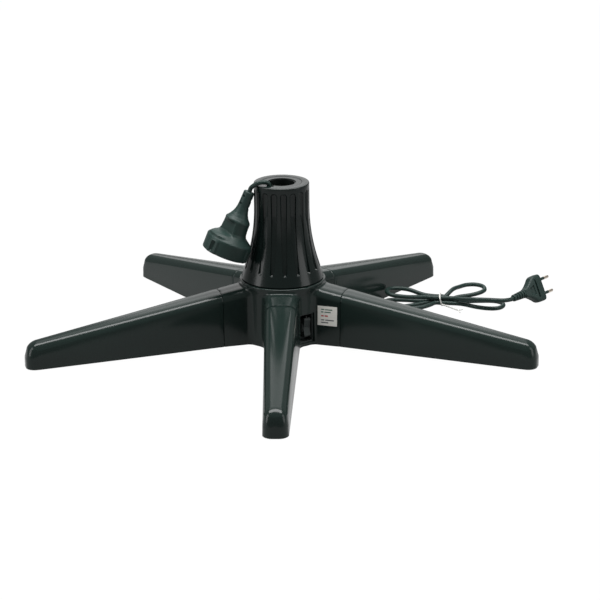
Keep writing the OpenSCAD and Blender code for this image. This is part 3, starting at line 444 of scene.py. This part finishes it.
def sector(level):
    """One fifth of the hub's skin, round one stub. Each row fans out from the turning axis."""
    z0, slope, last_end = hub_rows()
    edge = stub_edge(z0, slope, level)
    edge[last_end:] = edge[last_end - 1]
    share = np.array([0, 0.1, 0.2, 0.3, 0.4, 0.5, 0.6, 0.7, 0.8, 0.87, 0.93, 1.0])
    run = np.array([0.06, 0.14, 0.24, 0.36, 0.5, 0.66, 0.84])
    fixed = np.array([22.0, 22.35, 22.7, 23.05, 23.4, 23.9, POCKET_U, 25.4, 26.3, 27.2, 28.2, 29.4, 31, 33.1,
                      36.0])
    half = np.concatenate([edge[:, None] * share, edge[:, None] + (fixed[0] - edge[:, None]) * run * 0.98,
                           np.broadcast_to(fixed, (len(z0), len(fixed)))], axis=1)
    u = np.radians(np.concatenate([-half[:, :0:-1], half], axis=1))
    aim = np.stack([np.ones_like(u), np.tan(u), np.broadcast_to(slope[:, None], u.shape)], axis=-1)
    origin = np.zeros_like(aim)
    origin[..., 2] = z0[:, None]
    hit = shoot(origin, aim, hub_form, level, 200.0)
    over = hit[..., 0] > SEAM
    return np.where(over[..., None], origin + aim * SEAM, hit)


def make_hub():
    """Outer and inner skin of the hub with its five stubs, open for the switch and from below."""
    z0 = hub_rows()[0]
    skins = sector(0.0), sector(-HUB_WALL)
    parts = Sheets()
    cols = skins[0].shape[1]
    lo_row, hi_row = (int(np.argmin(abs(z0 - z))) for z in POCKET_Z)
    lo_col, hi_col = cols - POCKET_COLS, POCKET_COLS - 1
    for k in range(5):
        outer, inner = (turn_z(skin, -90 + 72 * k) for skin in skins)
        for grid, flip in ((outer, False), (inner, True)):
            start = parts.count
            parts.add(grid, flip=flip)
            if k < 2:
                keep = []
                for f in parts.faces:
                    up = [(v - start) // cols for v in f]
                    at = [(v - start) % cols for v in f]
                    hole = min(f) >= start and min(up) >= lo_row and max(up) <= hi_row
                    hole = hole and (min(at) >= lo_col if k == 0 else max(at) <= hi_col)
                    if not hole:
                        keep.append(f)
                parts.faces = keep
        parts.add(np.stack([inner[0], outer[0]]))
        if k < 2:
            side = lo_col if k == 0 else hi_col
            at = slice(lo_col, cols) if k == 0 else slice(0, POCKET_COLS)
            rows = slice(lo_row, hi_row + 1)
            parts.add(np.stack([outer[rows, side], inner[rows, side]]), flip=k == 0)
            parts.add(np.stack([outer[lo_row, at], inner[lo_row, at]]), flip=True)
            parts.add(np.stack([outer[hi_row, at], inner[hi_row, at]]))
    piece = parts.piece("hub_skin", "base", 42.0)
    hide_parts("hub_housing")
    return piece


hub = make_hub()


# ---- cone -------------------------------------------------------------------------------------------
STAND_H, RIM_R, CONE_Z, CONE_A, SWEEP = 202.0, 33.5, 83.6, math.radians(17), 229.0
CONE_XC, CONE_ZC = RIM_R + SWEEP, 172.0
FLUTES, FLUTE_AZ = 18, -84.4
FLUTE_Z, FLUTE_HALF, FLUTE_DEPTH = (98.7, 191.4), (2.75, 4.2), (2.9, 2.4)
RIM_SEAT_R = 24.7


def cone_radius(z):
    """A straight foot, then an arc of 229 mm that runs into the upright rim."""
    foot_z = CONE_ZC - SWEEP * math.sin(CONE_A)
    foot_x = CONE_XC - SWEEP * math.cos(CONE_A)
    arc = CONE_XC - np.sqrt(np.maximum(SWEEP ** 2 - np.minimum(CONE_ZC - z, SWEEP) ** 2, 0))
    low_part = foot_x + math.tan(CONE_A) * (foot_z - z)
    return np.where(z > CONE_ZC, RIM_R, np.where(z > foot_z, arc, low_part))


def make_cone():
    """The fluted cone, with a bevelled rim and the step in which the cap lies.

    A flute is as deep as FLUTE_DEPTH times 1 - u^6, where u is the distance from its middle line, or from
    the centre of its round end, over its half width. Width and depth change evenly with height.
    """
    z_rows = np.concatenate([[0, 0.4, 2.4, 6.4, 10.4, 12, 12.35, 12.5, 12.7, 13.1, 13.7, 14.4, 15.1, 16.8,
                              18.9], np.linspace(22.4, 102.4, 30),
                             [105.4, 107.8, 109, 110, 110.7, 111.2, 111.6, 111.85, 112, 112.2, 113, 114.4,
                              117.4]]) + CONE_Z
    share = np.array([0, 0.3, 0.55, 0.7, 0.8, 0.87, 0.92, 0.96, 1.0, 1.04, 1.1])
    share = np.concatenate([-share[:0:-1], share])
    pitch = 360 / FLUTES
    rows = []
    for z in z_rows:
        r = float(cone_radius(np.array(z)))
        half = np.interp(z, FLUTE_Z, FLUTE_HALF)
        local = np.concatenate([np.degrees(half * share / r), [pitch / 2]])
        beyond = max(z - FLUTE_Z[1], FLUTE_Z[0] - z, 0.0)
        u = np.minimum(np.hypot(np.concatenate([share, [2.0]]), beyond / half), 1)
        groove = np.interp(z, FLUTE_Z, FLUTE_DEPTH) * (1 - u ** 6)
        az = np.radians(np.concatenate([FLUTE_AZ + k * pitch + local for k in range(FLUTES)]))
        radius = r - np.tile(groove, FLUTES)
        rows.append(np.stack([radius * np.cos(az), radius * np.sin(az), np.full_like(az, z)], axis=-1))
    az = np.arctan2(rows[-1][:, 1], rows[-1][:, 0])

    def ring(r, z):
        return np.stack([r * np.cos(az), r * np.sin(az), np.full_like(az, z)], axis=-1)

    top = [ring(r, STAND_H - d) for r, d in ((33.45, 0.7), (33.25, 0.35), (32.95, 0.12), (32.5, 0),
                                             (25.2, 0), (24.85, 0.1), (RIM_SEAT_R, 0.4), (RIM_SEAT_R, 4.05))]
    # Known fault: this inner skin runs straight between its rings, and from about z = 100 mm to 165 mm the
    # flutes' floors pass through it.
    under = [ring(r, CONE_Z + h) for r, h in ((46.8, 0), (46.8, 0.6), (44.0, 10.4), (36.0, 48.4),
                                              (31.0, 83.4), (30.4, 112.3), (RIM_SEAT_R, 112.3))]
    parts = Sheets()
    parts.add(np.array(under[::-1] + rows + top), wrap=True)
    parts.add(np.array([top[-1], under[-1]]), wrap=True)
    piece = parts.piece("cone_skin", "rotor", 38.0)
    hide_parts("fluted_cone")
    return piece


cone = make_cone()


# ---- hanging outlet ---------------------------------------------------------------------------------
out_x = np.array((math.cos(LEAN) * math.cos(TURN), math.cos(LEAN) * math.sin(TURN), -math.sin(LEAN)))
out_y = np.array((-math.sin(TURN), math.cos(TURN), 0.0))
CONTACT_Y, WELL_R, FLOOR_H = 9.5, 3.2, 15.0


def outlet_points(h, radius, theta):
    """Points round the outlet's axis, h behind its face."""
    return (outlet_face + h[..., None] * outlet_way + (radius * np.cos(theta))[..., None] * out_x
            + (radius * np.sin(theta))[..., None] * out_y)


def off_azimuth(theta, middle):
    """Angle from the azimuth `middle`, which is in degrees, wrapped to half a turn either way."""
    return np.radians((np.degrees(theta) - middle + 180) % 360 - 180)


def make_outlet():
    """The bell, its shoulder, the grip with a thumb recess on each side, and the slotted strain relief."""
    scoop_az, scoop_out = 205, 4.6
    recesses = ((203.0, 9.8), (28.0, 12.6))
    lug_azimuths, lug_out, notch_depth = (219, 330), 1.2, 3.0
    slits, slit_depth = ((75.6, 198), (66.3, 198), (72.5, 355), (63, 355)), 3.0
    h_at = [0, 0.4, 1.0, 17.5, 18.6, 19.6, 21, 23, 25, 27, 30, 36, 42, 43.6, 44.8, 46.2, 47.2, 50, 54, 58,
            62, 66, 81, OUTLET_TAIL]
    r_at = [26.9, 27.5, 27.9, 28.2, 28.0, 27.2, 25.2, 22.6, 20.0, 18.0, 16.6, 15.9, 15.7, 15.8, 15.5, 14.8,
            13.8, 11.6, 9.4, 8.0, 7.2, 6.9, 6.6, 5.8]
    h = np.unique(np.concatenate([np.array(h_at, dtype=float), np.linspace(1, 17.5, 9),
                                  np.linspace(19, 48, 40), np.linspace(48, OUTLET_TAIL, 58)]))
    theta = np.linspace(0, 2 * math.pi, 120, endpoint=False)
    H, T = np.meshgrid(h, theta, indexing="ij")
    R = np.interp(H, h_at, r_at)
    bulge = smooth((1.0 - np.abs(off_azimuth(T, scoop_az))) / 0.75)
    R = R + scoop_out * bulge * smooth((H - 19) / 4.5) * smooth((31 - H) / 6.5)
    for normal, depth in recesses:
        off = off_azimuth(T, normal)
        plane = np.where(np.abs(off) < 1.3, depth / np.maximum(np.cos(off), 0.2), 99.0)
        window = smooth((H - 25.5) / 3.0) * smooth((45.5 - H) / 6.0)
        R = np.where(plane < R, R + (plane - R) * window, R)
    for middle in lug_azimuths:
        off = np.abs(off_azimuth(T, middle))
        R = R + lug_out * smooth((math.radians(15) - off) / 0.04) * smooth((17.6 - H) / 1.0)
        notch = smooth((math.radians(4.2) - off) / 0.03) * smooth((15.5 - H) / 0.8)
        R = R - notch_depth * notch * smooth((H - 2) / 0.8)
    for h0, side in slits:
        off = np.abs(off_azimuth(T, side))
        R = R - slit_depth * smooth((1.35 - np.abs(H - h0)) / 0.4) * smooth((0.55 - off) / 0.12)
    parts = Sheets()
    parts.add(outlet_points(H, R, T), wrap=True, caps=(False, True))
    rim = [(0.0, 26.9), (-0.05, 26.3), (-0.05, 20.6), (0.3, 20.0), (0.9, 19.8), (14.6, 19.8), (15.0, 19.3)]
    rings = [outlet_points(np.full_like(theta, a), np.full_like(theta, r), theta) for a, r in rim]
    parts.add(np.array(rings), wrap=True, flip=True)
    piece = parts.piece("outlet_skin", "rotor", 40.0)
    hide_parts("outlet_coupler")
    return piece


def outlet_floor():
    """The bottom of the socket with its two contact holes, each a well 5 mm wide."""
    parts = Sheets()
    angles = np.linspace(0, 2 * math.pi, 24, endpoint=False)
    for side in (-1, 1):
        rings = []
        for radius, depth in ((WELL_R, FLOOR_H), (2.6, 15.05), (2.5, 15.4), (2.5, 33.0)):
            x, y = radius * np.cos(angles), side * CONTACT_Y + radius * np.sin(angles)
            rings.append(outlet_face + depth * outlet_way + x[:, None] * out_x + y[:, None] * out_y)
        parts.add(np.array(rings), wrap=True, flip=True, caps=(False, True))
    outer = np.linspace(0, 2 * math.pi, 48, endpoint=False)
    for side in (-1, 1):
        half = outer[side * np.sin(outer) >= -1e-9]
        centre = np.array([0.0, side * CONTACT_Y])
        arc_x, arc_y = 19.4 * np.cos(half), 19.4 * np.sin(half)
        if side < 0:
            order = np.argsort((np.degrees(half) - 180) % 360)
            arc_x, arc_y = arc_x[order], arc_y[order]
        line_x = np.linspace(arc_x[-1], arc_x[0], 12)[1:-1]
        edge_x = np.concatenate([arc_x, line_x])
        edge_y = np.concatenate([arc_y, np.zeros_like(line_x)])
        a = np.arctan2(edge_y - centre[1], edge_x - centre[0])
        inner = np.stack([centre[0] + WELL_R * np.cos(a), centre[1] + WELL_R * np.sin(a)], axis=-1)
        ring = np.stack([edge_x, edge_y], axis=-1)
        both = [outlet_face + FLOOR_H * outlet_way + g[:, :1] * out_x + g[:, 1:] * out_y
                for g in (ring, inner)]
        parts.add(np.array(both), wrap=True, flip=True)
    piece = parts.piece("outlet_floor", "rotor", 30.0)
    return piece


outlet_shell, outlet_bottom = make_outlet(), outlet_floor()


# ---- plug -------------------------------------------------------------------------------------------
PIN_Z = 9.3


def plug_frame(p):
    """From the plug's own axes (x to the pins, y through its thickness, z across) to the stand's."""
    a, r, w = plug_az, -plug_rise, math.radians(PLUG_ROLL)
    x, y, z = p[..., 0], p[..., 1], p[..., 2]
    y, z = y * math.cos(w) - z * math.sin(w), y * math.sin(w) + z * math.cos(w)
    x, z = x * math.cos(r) + z * math.sin(r), -x * math.sin(r) + z * math.cos(r)
    x, y = x * math.cos(a) - y * math.sin(a), x * math.sin(a) + y * math.cos(a)
    return np.stack([x, y, z], axis=-1) + plug_face


def make_plug():
    """A flat plug: superellipse sections that narrow to the neck, a groove, a grip recess, a ribbed tail."""
    x_at = [-31, -28, -24, -19, -15.5, -13, -11, -4, -1.6, -0.5, 0]
    w_at = [5.4, 6.3, 8.6, 12.6, 16.0, 17.2, 17.5, 17.65, 17.4, 16.8, 15.8]
    t_at = [5.2, 5.5, 6.0, 6.4, 6.7, 6.8, 6.8, 6.8, 6.7, 6.3, 5.6]
    x = np.unique(np.concatenate([x_at, np.linspace(-31, -1.6, 50)]))
    theta = np.linspace(0, 2 * math.pi, 112, endpoint=False)
    X, T = np.meshgrid(x, theta, indexing="ij")
    W, D = np.interp(X, x_at, w_at), np.interp(X, x_at, t_at)
    n, groove_x, groove_depth, recess_depth = 5.0, -11.2, 2.2, 1.3
    r = 1 / (np.abs(np.cos(T) / W) ** n + np.abs(np.sin(T) / D) ** n) ** (1 / n)
    Z, Y = r * np.cos(T), r * np.sin(T)
    across = smooth((0.7 * W - np.abs(Z)) / 0.8)
    groove = smooth((1.2 - np.abs(X - groove_x)) / 0.5) * across
    recess = smooth((0.42 * W - np.abs(Z)) / 0.8) * smooth((X + 22.5) / 0.8) * smooth((-15.2 - X) / 0.8)
    sunk = groove_depth * groove + recess_depth * recess
    Y = Y - np.sign(Y) * sunk * smooth((np.abs(Y) - 0.6 * D) / (0.3 * D))
    parts = Sheets()
    parts.add(plug_frame(np.stack([X, Y, Z], axis=-1)), wrap=True, caps=(True, True), flip=True)
    h = np.linspace(-PLUG_TAIL, -30, 85)
    base = np.interp(h, [-PLUG_TAIL, -50.4, -31, -30], [3.9, 4.4, 5.6, 5.7])
    for k in range(4):
        base = base - np.clip(base - 3.3, 0, 9) * smooth((1.0 - np.abs(h + 34.2 + 4.2 * k)) / 0.4)
    H, T2 = np.meshgrid(h, np.linspace(0, 2 * math.pi, 40, endpoint=False), indexing="ij")
    R = np.broadcast_to(base[:, None], H.shape)
    squash = np.interp(H, [-PLUG_TAIL, -31], [1.0, 0.92])
    parts.add(plug_frame(np.stack([H, R * np.sin(T2) * squash, R * np.cos(T2)], axis=-1)), wrap=True,
              caps=(True, True), flip=True)
    piece = parts.piece("plug_skin", "base", 40.0)
    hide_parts("mains_plug")
    return piece


plug = make_plug()


def make_pins():
    """Two pins: the sleeve of the same colour as the plug near the face, then bare metal with a round end."""
    made = []
    angles = np.linspace(0, 2 * math.pi, 24, endpoint=False)
    sleeve = ((-0.5, 1.9), (0.2, 1.95), (9.6, 1.95), (10.0, 1.8))
    tip = ((9.9, 1.5), (10.0, 1.98), (16.8, 1.98), (18.0, 1.8), (18.7, 1.2), (19.0, 0.4))
    for name, slot, rings in (("pin_sleeves", "plug_plastic", sleeve), ("pin_tips", "brass", tip)):
        parts = Sheets()
        for side in (-PIN_Z, PIN_Z):
            grid = np.array([[(x, r * math.cos(a), side + r * math.sin(a)) for a in angles]
                             for x, r in rings])
            parts.add(plug_frame(grid), wrap=True, caps=(True, True))
        piece = parts.piece(name, "base", 50.0)
        made.append(piece)
    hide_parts("plug_pins")
    return made


pins = make_pins()


# ---- tie of the hank --------------------------------------------------------------------------------
def make_tie():
    """A thin white wire tie: a strip round the bundle, leaning a little, and two ends twisted together.

    The ends wind round their middle line at 0.6 mm, 6 turns, and part at its end.
    """
    half, top, r = 9.7, 12.7, 3.2
    wind_r, turns = 0.6, 6
    outline = []
    for cx, cy, a0 in ((half - r, top - r, 0), (-half + r, top - r, 90), (-half + r, 0.3 + r, 180),
                       (half - r, 0.3 + r, 270)):
        for a in np.radians(np.linspace(a0, a0 + 90, 9)):
            outline.append((cx + r * math.cos(a), cy + r * math.sin(a)))
    outline = np.array(outline)
    centre = np.array([0.0, top / 2])
    rows = []
    for along, grow in ((-0.9, 0.2), (-0.8, 0.4), (-0.3, 0.35), (0, 0.6), (0.3, 0.35), (0.8, 0.4), (0.9, 0.2),
                        (0.8, -0.1), (-0.8, -0.1)):
        ring = centre + (outline - centre) * (1 + grow / 9)
        rows.append([tie_point(along + 0.9 - 0.25 * p[1], p[0], max(p[1], 0.12)) for p in ring])
    parts = Sheets()
    parts.add(np.array(rows + [rows[0]]), wrap=True)
    middle = smooth_line([tie_point(*p) for p in ((0.9, -10.0, 3.0), (7, -13.2, 2.2), (15, -19.5, 1.6),
                                                  (22, -26.0, 1.5))], 24)
    way = np.gradient(middle, axis=0)
    side = np.stack([-way[:, 1], way[:, 0], np.zeros(len(way))], axis=-1)
    side /= np.linalg.norm(side, axis=1)[:, None]
    for start, ends in ((0.0, ((25.5, -28.5, 2.4), (28.5, -28.0, 3.9))),
                        (math.pi, ((23.5, -30, 0.9), (25, -34.5, 0.8)))):
        turn = start + np.linspace(0, 2 * turns * math.pi, len(middle))[:, None]
        line = middle + wind_r * (np.cos(turn) * side + np.sin(turn) * np.array([0, 0, 1.0]))
        line = np.concatenate([line, [tie_point(*p) for p in ends]])
        parts.add(tube_grid(smooth_line(line, 2), 0.55, 8), wrap=True, caps=(True, True))
    piece = parts.piece("tie_skin", "base", 50.0)
    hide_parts("cord_tie")
    return piece


tie = make_tie()


# ---- label ------------------------------------------------------------------------------------------
LABEL_X, LABEL_Z, LABEL_SIZE, STUB_AZ = 52.0, 32.3, 24.5, -18


def make_label():
    """A square label on the near side of the right stub, 0.2 mm proud of the plastic."""
    x, z = np.meshgrid(np.linspace(LABEL_X, LABEL_X + LABEL_SIZE, 13),
                       np.linspace(LABEL_Z, LABEL_Z + LABEL_SIZE, 13), indexing="ij")
    way = np.zeros(x.shape + (3,))
    way[..., 1] = -1.0
    origin = np.stack([x, np.zeros_like(x), z], axis=-1)
    grids = [shoot(origin, way, hub_form, level, 60.0) for level in (0.05, 0.22)]
    parts = Sheets()
    parts.add(turn_z(grids[1], STUB_AZ), flip=True)
    for a, b in ((grids[0][0], grids[1][0]), (grids[1][-1], grids[0][-1]), (grids[1][:, 0], grids[0][:, 0]),
                 (grids[0][:, -1], grids[1][:, -1])):
        parts.add(turn_z(np.stack([a, b]), STUB_AZ), flip=True)
    piece = parts.piece("label_skin", "base", 30.0)
    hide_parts("rating_label")
    return piece


label = make_label()


# ---- materials --------------------------------------------------------------------------------------
def new_material(name):
    material = bpy.data.materials.new(name)
    material.use_nodes = True
    tree = material.node_tree
    shader = next(n for n in tree.nodes if n.type == "BSDF_PRINCIPLED")
    return material, tree, shader


class Number:
    """A number in a shader: + * and comparisons between such numbers add the Math nodes they need."""

    def __init__(self, tree, socket):
        self.tree, self.socket = tree, socket

    def maths(self, operation, first, second):
        node = add_node(self.tree, "ShaderNodeMath", operation=operation)
        for slot, value in zip(node.inputs, (first, second)):
            if isinstance(value, Number):
                self.tree.links.new(value.socket, slot)
            else:
                slot.default_value = value
        return Number(self.tree, node.outputs[0])

    def __add__(self, other):
        return self.maths("ADD", self, other)

    def __radd__(self, other):
        return self.maths("ADD", other, self)

    def __mul__(self, other):
        return self.maths("MULTIPLY", self, other)

    def __rmul__(self, other):
        return self.maths("MULTIPLY", other, self)

    def __gt__(self, other):
        return self.maths("GREATER_THAN", self, other)

    def __lt__(self, other):
        return self.maths("LESS_THAN", self, other)


def add_node(tree, kind, **settings):
    node = tree.nodes.new(kind)
    for key, value in settings.items():
        if key in node.inputs:
            node.inputs[key].default_value = value
        else:
            setattr(node, key, value)
    return node


def moulded(name, colour, rough, grain=0.0009, strength=0.12, mottling=0.18, metallic=0.0, ior=1.34):
    """Moulded plastic: a fine spark-eroded grain in the bump, slow drifts in colour, and worn roughness."""
    material, tree, shader = new_material(name)
    link = tree.links.new
    where = add_node(tree, "ShaderNodeTexCoord")
    slow = add_node(tree, "ShaderNodeTexNoise", Scale=9.0, Detail=4.0, Roughness=0.55)
    fine = add_node(tree, "ShaderNodeTexNoise", Scale=1.0 / grain, Detail=2.0, Roughness=0.6)
    link(where.outputs["Object"], slow.inputs["Vector"])
    link(where.outputs["Object"], fine.inputs["Vector"])
    ramp = add_node(tree, "ShaderNodeValToRGB")
    ramp.color_ramp.elements[0].position, ramp.color_ramp.elements[1].position = 0.3, 0.7
    ramp.color_ramp.elements[0].color = tuple(c * (1 - mottling) for c in colour) + (1,)
    ramp.color_ramp.elements[1].color = tuple(c * (1 + mottling) for c in colour) + (1,)
    link(slow.outputs["Fac"], ramp.inputs["Fac"])
    link(ramp.outputs["Color"], shader.inputs["Base Color"])
    span = add_node(tree, "ShaderNodeMapRange")
    span.inputs["To Min"].default_value, span.inputs["To Max"].default_value = rough - 0.05, rough + 0.05
    link(slow.outputs["Fac"], span.inputs["Value"])
    link(span.outputs["Result"], shader.inputs["Roughness"])
    bump = add_node(tree, "ShaderNodeBump", Strength=strength, Distance=0.0002)
    link(fine.outputs["Fac"], bump.inputs["Height"])
    link(bump.outputs["Normal"], shader.inputs["Normal"])
    shader.inputs["Metallic"].default_value = metallic
    shader.inputs["IOR"].default_value = ior
    return material


MATERIALS = {
    "hub_plastic": moulded("leg_plastic", (0.0105, 0.0185, 0.0162), 0.16, mottling=0.1),
    "cone_plastic": moulded("cone_plastic", (0.0045, 0.009, 0.008), 0.22, mottling=0.1, ior=1.38),
    # Painted light: the switch plastic is two to three times as light as the hub's, standing in for lamp
    # light that hardly reaches into the switch's deep pocket.
    "switch_plastic": moulded("switch_plastic", (0.03, 0.037, 0.036), 0.5, ior=1.3),
    "plug_plastic": moulded("plug_plastic", (0.014, 0.03, 0.026), 0.45, grain=0.0004, strength=0.06),
    "cord": moulded("cord_sheath", (0.011, 0.026, 0.022), 0.4, grain=0.0015, strength=0.04),
    "wire": moulded("core_sheath", (0.25, 0.1, 0.05), 0.45),
    "rubber": moulded("pad_rubber", (0.02, 0.02, 0.02), 0.7, strength=0.3),
    "nylon": moulded("nylon", (0.62, 0.6, 0.5), 0.4, mottling=0.05),
    "carbon": moulded("brush_carbon", (0.03, 0.03, 0.033), 0.5),
    "steel": moulded("zinc_steel", (0.5, 0.5, 0.52), 0.3, metallic=1.0, mottling=0.08),
    "brass": moulded("pin_brass", (0.72, 0.64, 0.55), 0.24, metallic=1.0, mottling=0.05),
    "painted": moulded("tube_paint", (0.004, 0.006, 0.0055), 0.4),
    "tie": moulded("tie_plastic", (0.6, 0.6, 0.57), 0.45, mottling=0.03),
}


def label_material():
    """Matt white paper with plain bars where the rows of print are."""
    material, tree, shader = new_material("label_paper")
    link = tree.links.new
    where = add_node(tree, "ShaderNodeTexCoord")
    split = add_node(tree, "ShaderNodeSeparateXYZ")
    link(where.outputs["Object"], split.inputs[0])
    x, y, z = (Number(tree, socket) for socket in split.outputs)
    along = x * math.cos(math.radians(STUB_AZ)) + y * math.sin(math.radians(STUB_AZ))

    def bars(rows, half):
        total = 0.0
        for x0, x1, height in rows:
            centre = (LABEL_Z + height) * MM
            across = (along > x0 * MM) * (along < x1 * MM)
            total = across * (z > centre - half * MM) * (z < centre + half * MM) + total
        return total.socket

    paper = add_node(tree, "ShaderNodeRGB")
    paper.outputs[0].default_value = (0.95, 0.93, 0.87, 1)
    face = paper.outputs[0]
    green = ((56.5, 60.5, 20.2), (61.5, 70.5, 20.2), (56.5, 59.5, 17.0), (60.8, 68.5, 17.0))
    red = ((56.5, 59.8, 12.2), (61.0, 65.0, 12.2))
    dark = ((56.5, 60.5, 7.0), (61.8, 72.5, 7.0), (56.5, 65.5, 3.8))
    for ink, half, rows in (((0.06, 0.16, 0.11), 0.7, green), ((0.55, 0.09, 0.08), 0.9, red),
                            ((0.11, 0.12, 0.12), 0.7, dark)):
        print_mix = add_node(tree, "ShaderNodeMix", data_type="RGBA")
        print_mix.inputs[7].default_value = (*ink, 1)
        link(face, print_mix.inputs[6])
        link(bars(rows, half), print_mix.inputs[0])
        face = print_mix.outputs[2]
    link(face, shader.inputs["Base Color"])
    shader.inputs["Roughness"].default_value = 0.55
    return material


MATERIALS["label"] = label_material()


def dress():
    """Every piece and every CAD node gets the material of its slot, except the pole tube, which gets the dark
    tube paint.
    """
    slots = {s["node"]: s["material_slot"] for s in frame["record"]["subparts"]}
    for node, piece in frame["nodes"].items():
        piece.data.materials.clear()
        piece.data.materials.append(MATERIALS["painted" if node == "pole_tube" else slots[node]])
    for piece in legs + [hub]:
        piece.data.materials.append(MATERIALS["hub_plastic"])
    for slot, pieces in (("cone_plastic", (cone,)), ("tie", (tie,)), ("label", (label,)),
                         ("plug_plastic", (outlet_shell, outlet_bottom, plug, pins[0])),
                         ("brass", (pins[1],)), ("cord", (mains_cable, outlet_cable))):
        for piece in pieces:
            piece.data.materials.append(MATERIALS[slot])


dress()


# ---- light and floor --------------------------------------------------------------------------------
FLOOR_MIRROR, FLOOR_DIRECT, FLOOR_WHITE = 0.46, 0.93, 1.07
FLOOR_Z, FLOOR_HALF = -0.0002, 9


def backdrop_mix(tree, seen, lit, direct, mirrored):
    """Mixes `seen` over `lit`: by `direct` for camera rays, by `mirrored` for glossy and transmitted rays."""
    path = add_node(tree, "ShaderNodeLightPath")
    bounced = Number(tree, path.outputs["Is Glossy Ray"]) + Number(tree, path.outputs["Is Transmission Ray"])
    share = Number(tree, path.outputs["Is Camera Ray"]) * direct + bounced * mirrored
    mix = add_node(tree, "ShaderNodeMixShader")
    tree.links.new(share.socket, mix.inputs[0])
    tree.links.new(lit, mix.inputs[1])
    tree.links.new(seen, mix.inputs[2])
    return mix.outputs[0]


def paper_width(tree):
    """1 on the white paper under the object, falling to 0.2 beyond 0.45 m to 0.7 m on either side."""
    where = add_node(tree, "ShaderNodeTexCoord")
    split = add_node(tree, "ShaderNodeSeparateXYZ")
    tree.links.new(where.outputs["Object"], split.inputs[0])
    x = Number(tree, split.outputs[0])
    span = add_node(tree, "ShaderNodeMapRange", interpolation_type="SMOOTHSTEP")
    for name, value in (("From Min", 0.2), ("From Max", 0.5), ("To Min", 1.0), ("To Max", 0.2)):
        span.inputs[name].default_value = value
    tree.links.new((x * x).socket, span.inputs["Value"])
    return Number(tree, span.outputs["Result"])


def make_stage():
    """White for the camera; a pale floor that keeps a trace of the shadow; a dim room for every other ray."""
    world = bpy.data.worlds.new("studio")
    scene.world = world
    world.use_nodes = True
    tree = world.node_tree
    tree.nodes.clear()
    out = add_node(tree, "ShaderNodeOutputWorld")
    room = add_node(tree, "ShaderNodeBackground", Strength=0.22)
    white = add_node(tree, "ShaderNodeBackground", Strength=1.0)
    for node in (room, white):
        node.inputs["Color"].default_value = (1, 1, 1, 1)
    tree.links.new(backdrop_mix(tree, white.outputs[0], room.outputs[0], 1.0, 0.0), out.inputs["Surface"])
    mesh = bpy.data.meshes.new("studio_floor")
    corners = [(x * FLOOR_HALF, y * FLOOR_HALF, FLOOR_Z) for x, y in ((-1, -1), (1, -1), (1, 1), (-1, 1))]
    mesh.from_pydata(corners, [], [(0, 1, 2, 3)])
    floor = bpy.data.objects.new("studio_floor", mesh)
    scene.collection.objects.link(floor)
    material, tree, shader = new_material("floor_paper")
    shader.inputs["Base Color"].default_value = (0.22, 0.225, 0.225, 1)
    shader.inputs["Roughness"].default_value = 0.9
    shader.inputs["Specular IOR Level"].default_value = 0.1
    white = add_node(tree, "ShaderNodeEmission")
    white.inputs["Color"].default_value = (1, 1, 1, 1)
    white.inputs["Strength"].default_value = FLOOR_WHITE
    out = next(n for n in tree.nodes if n.type == "OUTPUT_MATERIAL")
    mirrored = FLOOR_MIRROR * paper_width(tree)
    sweep = backdrop_mix(tree, white.outputs[0], shader.outputs[0], FLOOR_DIRECT, mirrored)
    tree.links.new(sweep, out.inputs["Surface"])
    mesh.materials.append(material)


def soft_box(name, at, look, size, radiance):
    """A rectangular lamp whose face shines with the given radiance."""
    data = bpy.data.lights.new(name, "AREA")
    data.shape = "RECTANGLE"
    data.size, data.size_y = size
    data.energy = radiance * math.pi * size[0] * size[1]
    light = bpy.data.objects.new(name, data)
    scene.collection.objects.link(light)
    light.location = at
    light.rotation_euler = (Vector(look) - Vector(at)).to_track_quat("-Z", "Y").to_euler()


make_stage()
MIDDLE = (0, 0, 0.1)
for lamp in (("overhead_box", (0.0, -0.08, 1.7), (0.0, -0.08, 0.0), (2.4, 0.66), 11.0),
             ("ceiling_box", (0.0, 1.3, 2.0), (0.0, 1.3, 0.0), (2.6, 1.9), 0.9),
             ("back_box", (0.0, 2.6, 0.95), MIDDLE, (1.7, 1.2), 0.85),
             ("back_top_box", (0.0, 2.6, 1.9), MIDDLE, (1.9, 0.55), 1.7),
             ("left_box", (-1.7, -0.6, 0.7), MIDDLE, (0.75, 1.3), 3.2),
             ("right_box", (1.65, -0.6, 0.7), MIDDLE, (0.75, 1.3), 2.2)):
    soft_box(*lamp)
scene.view_settings.view_transform = "Standard"
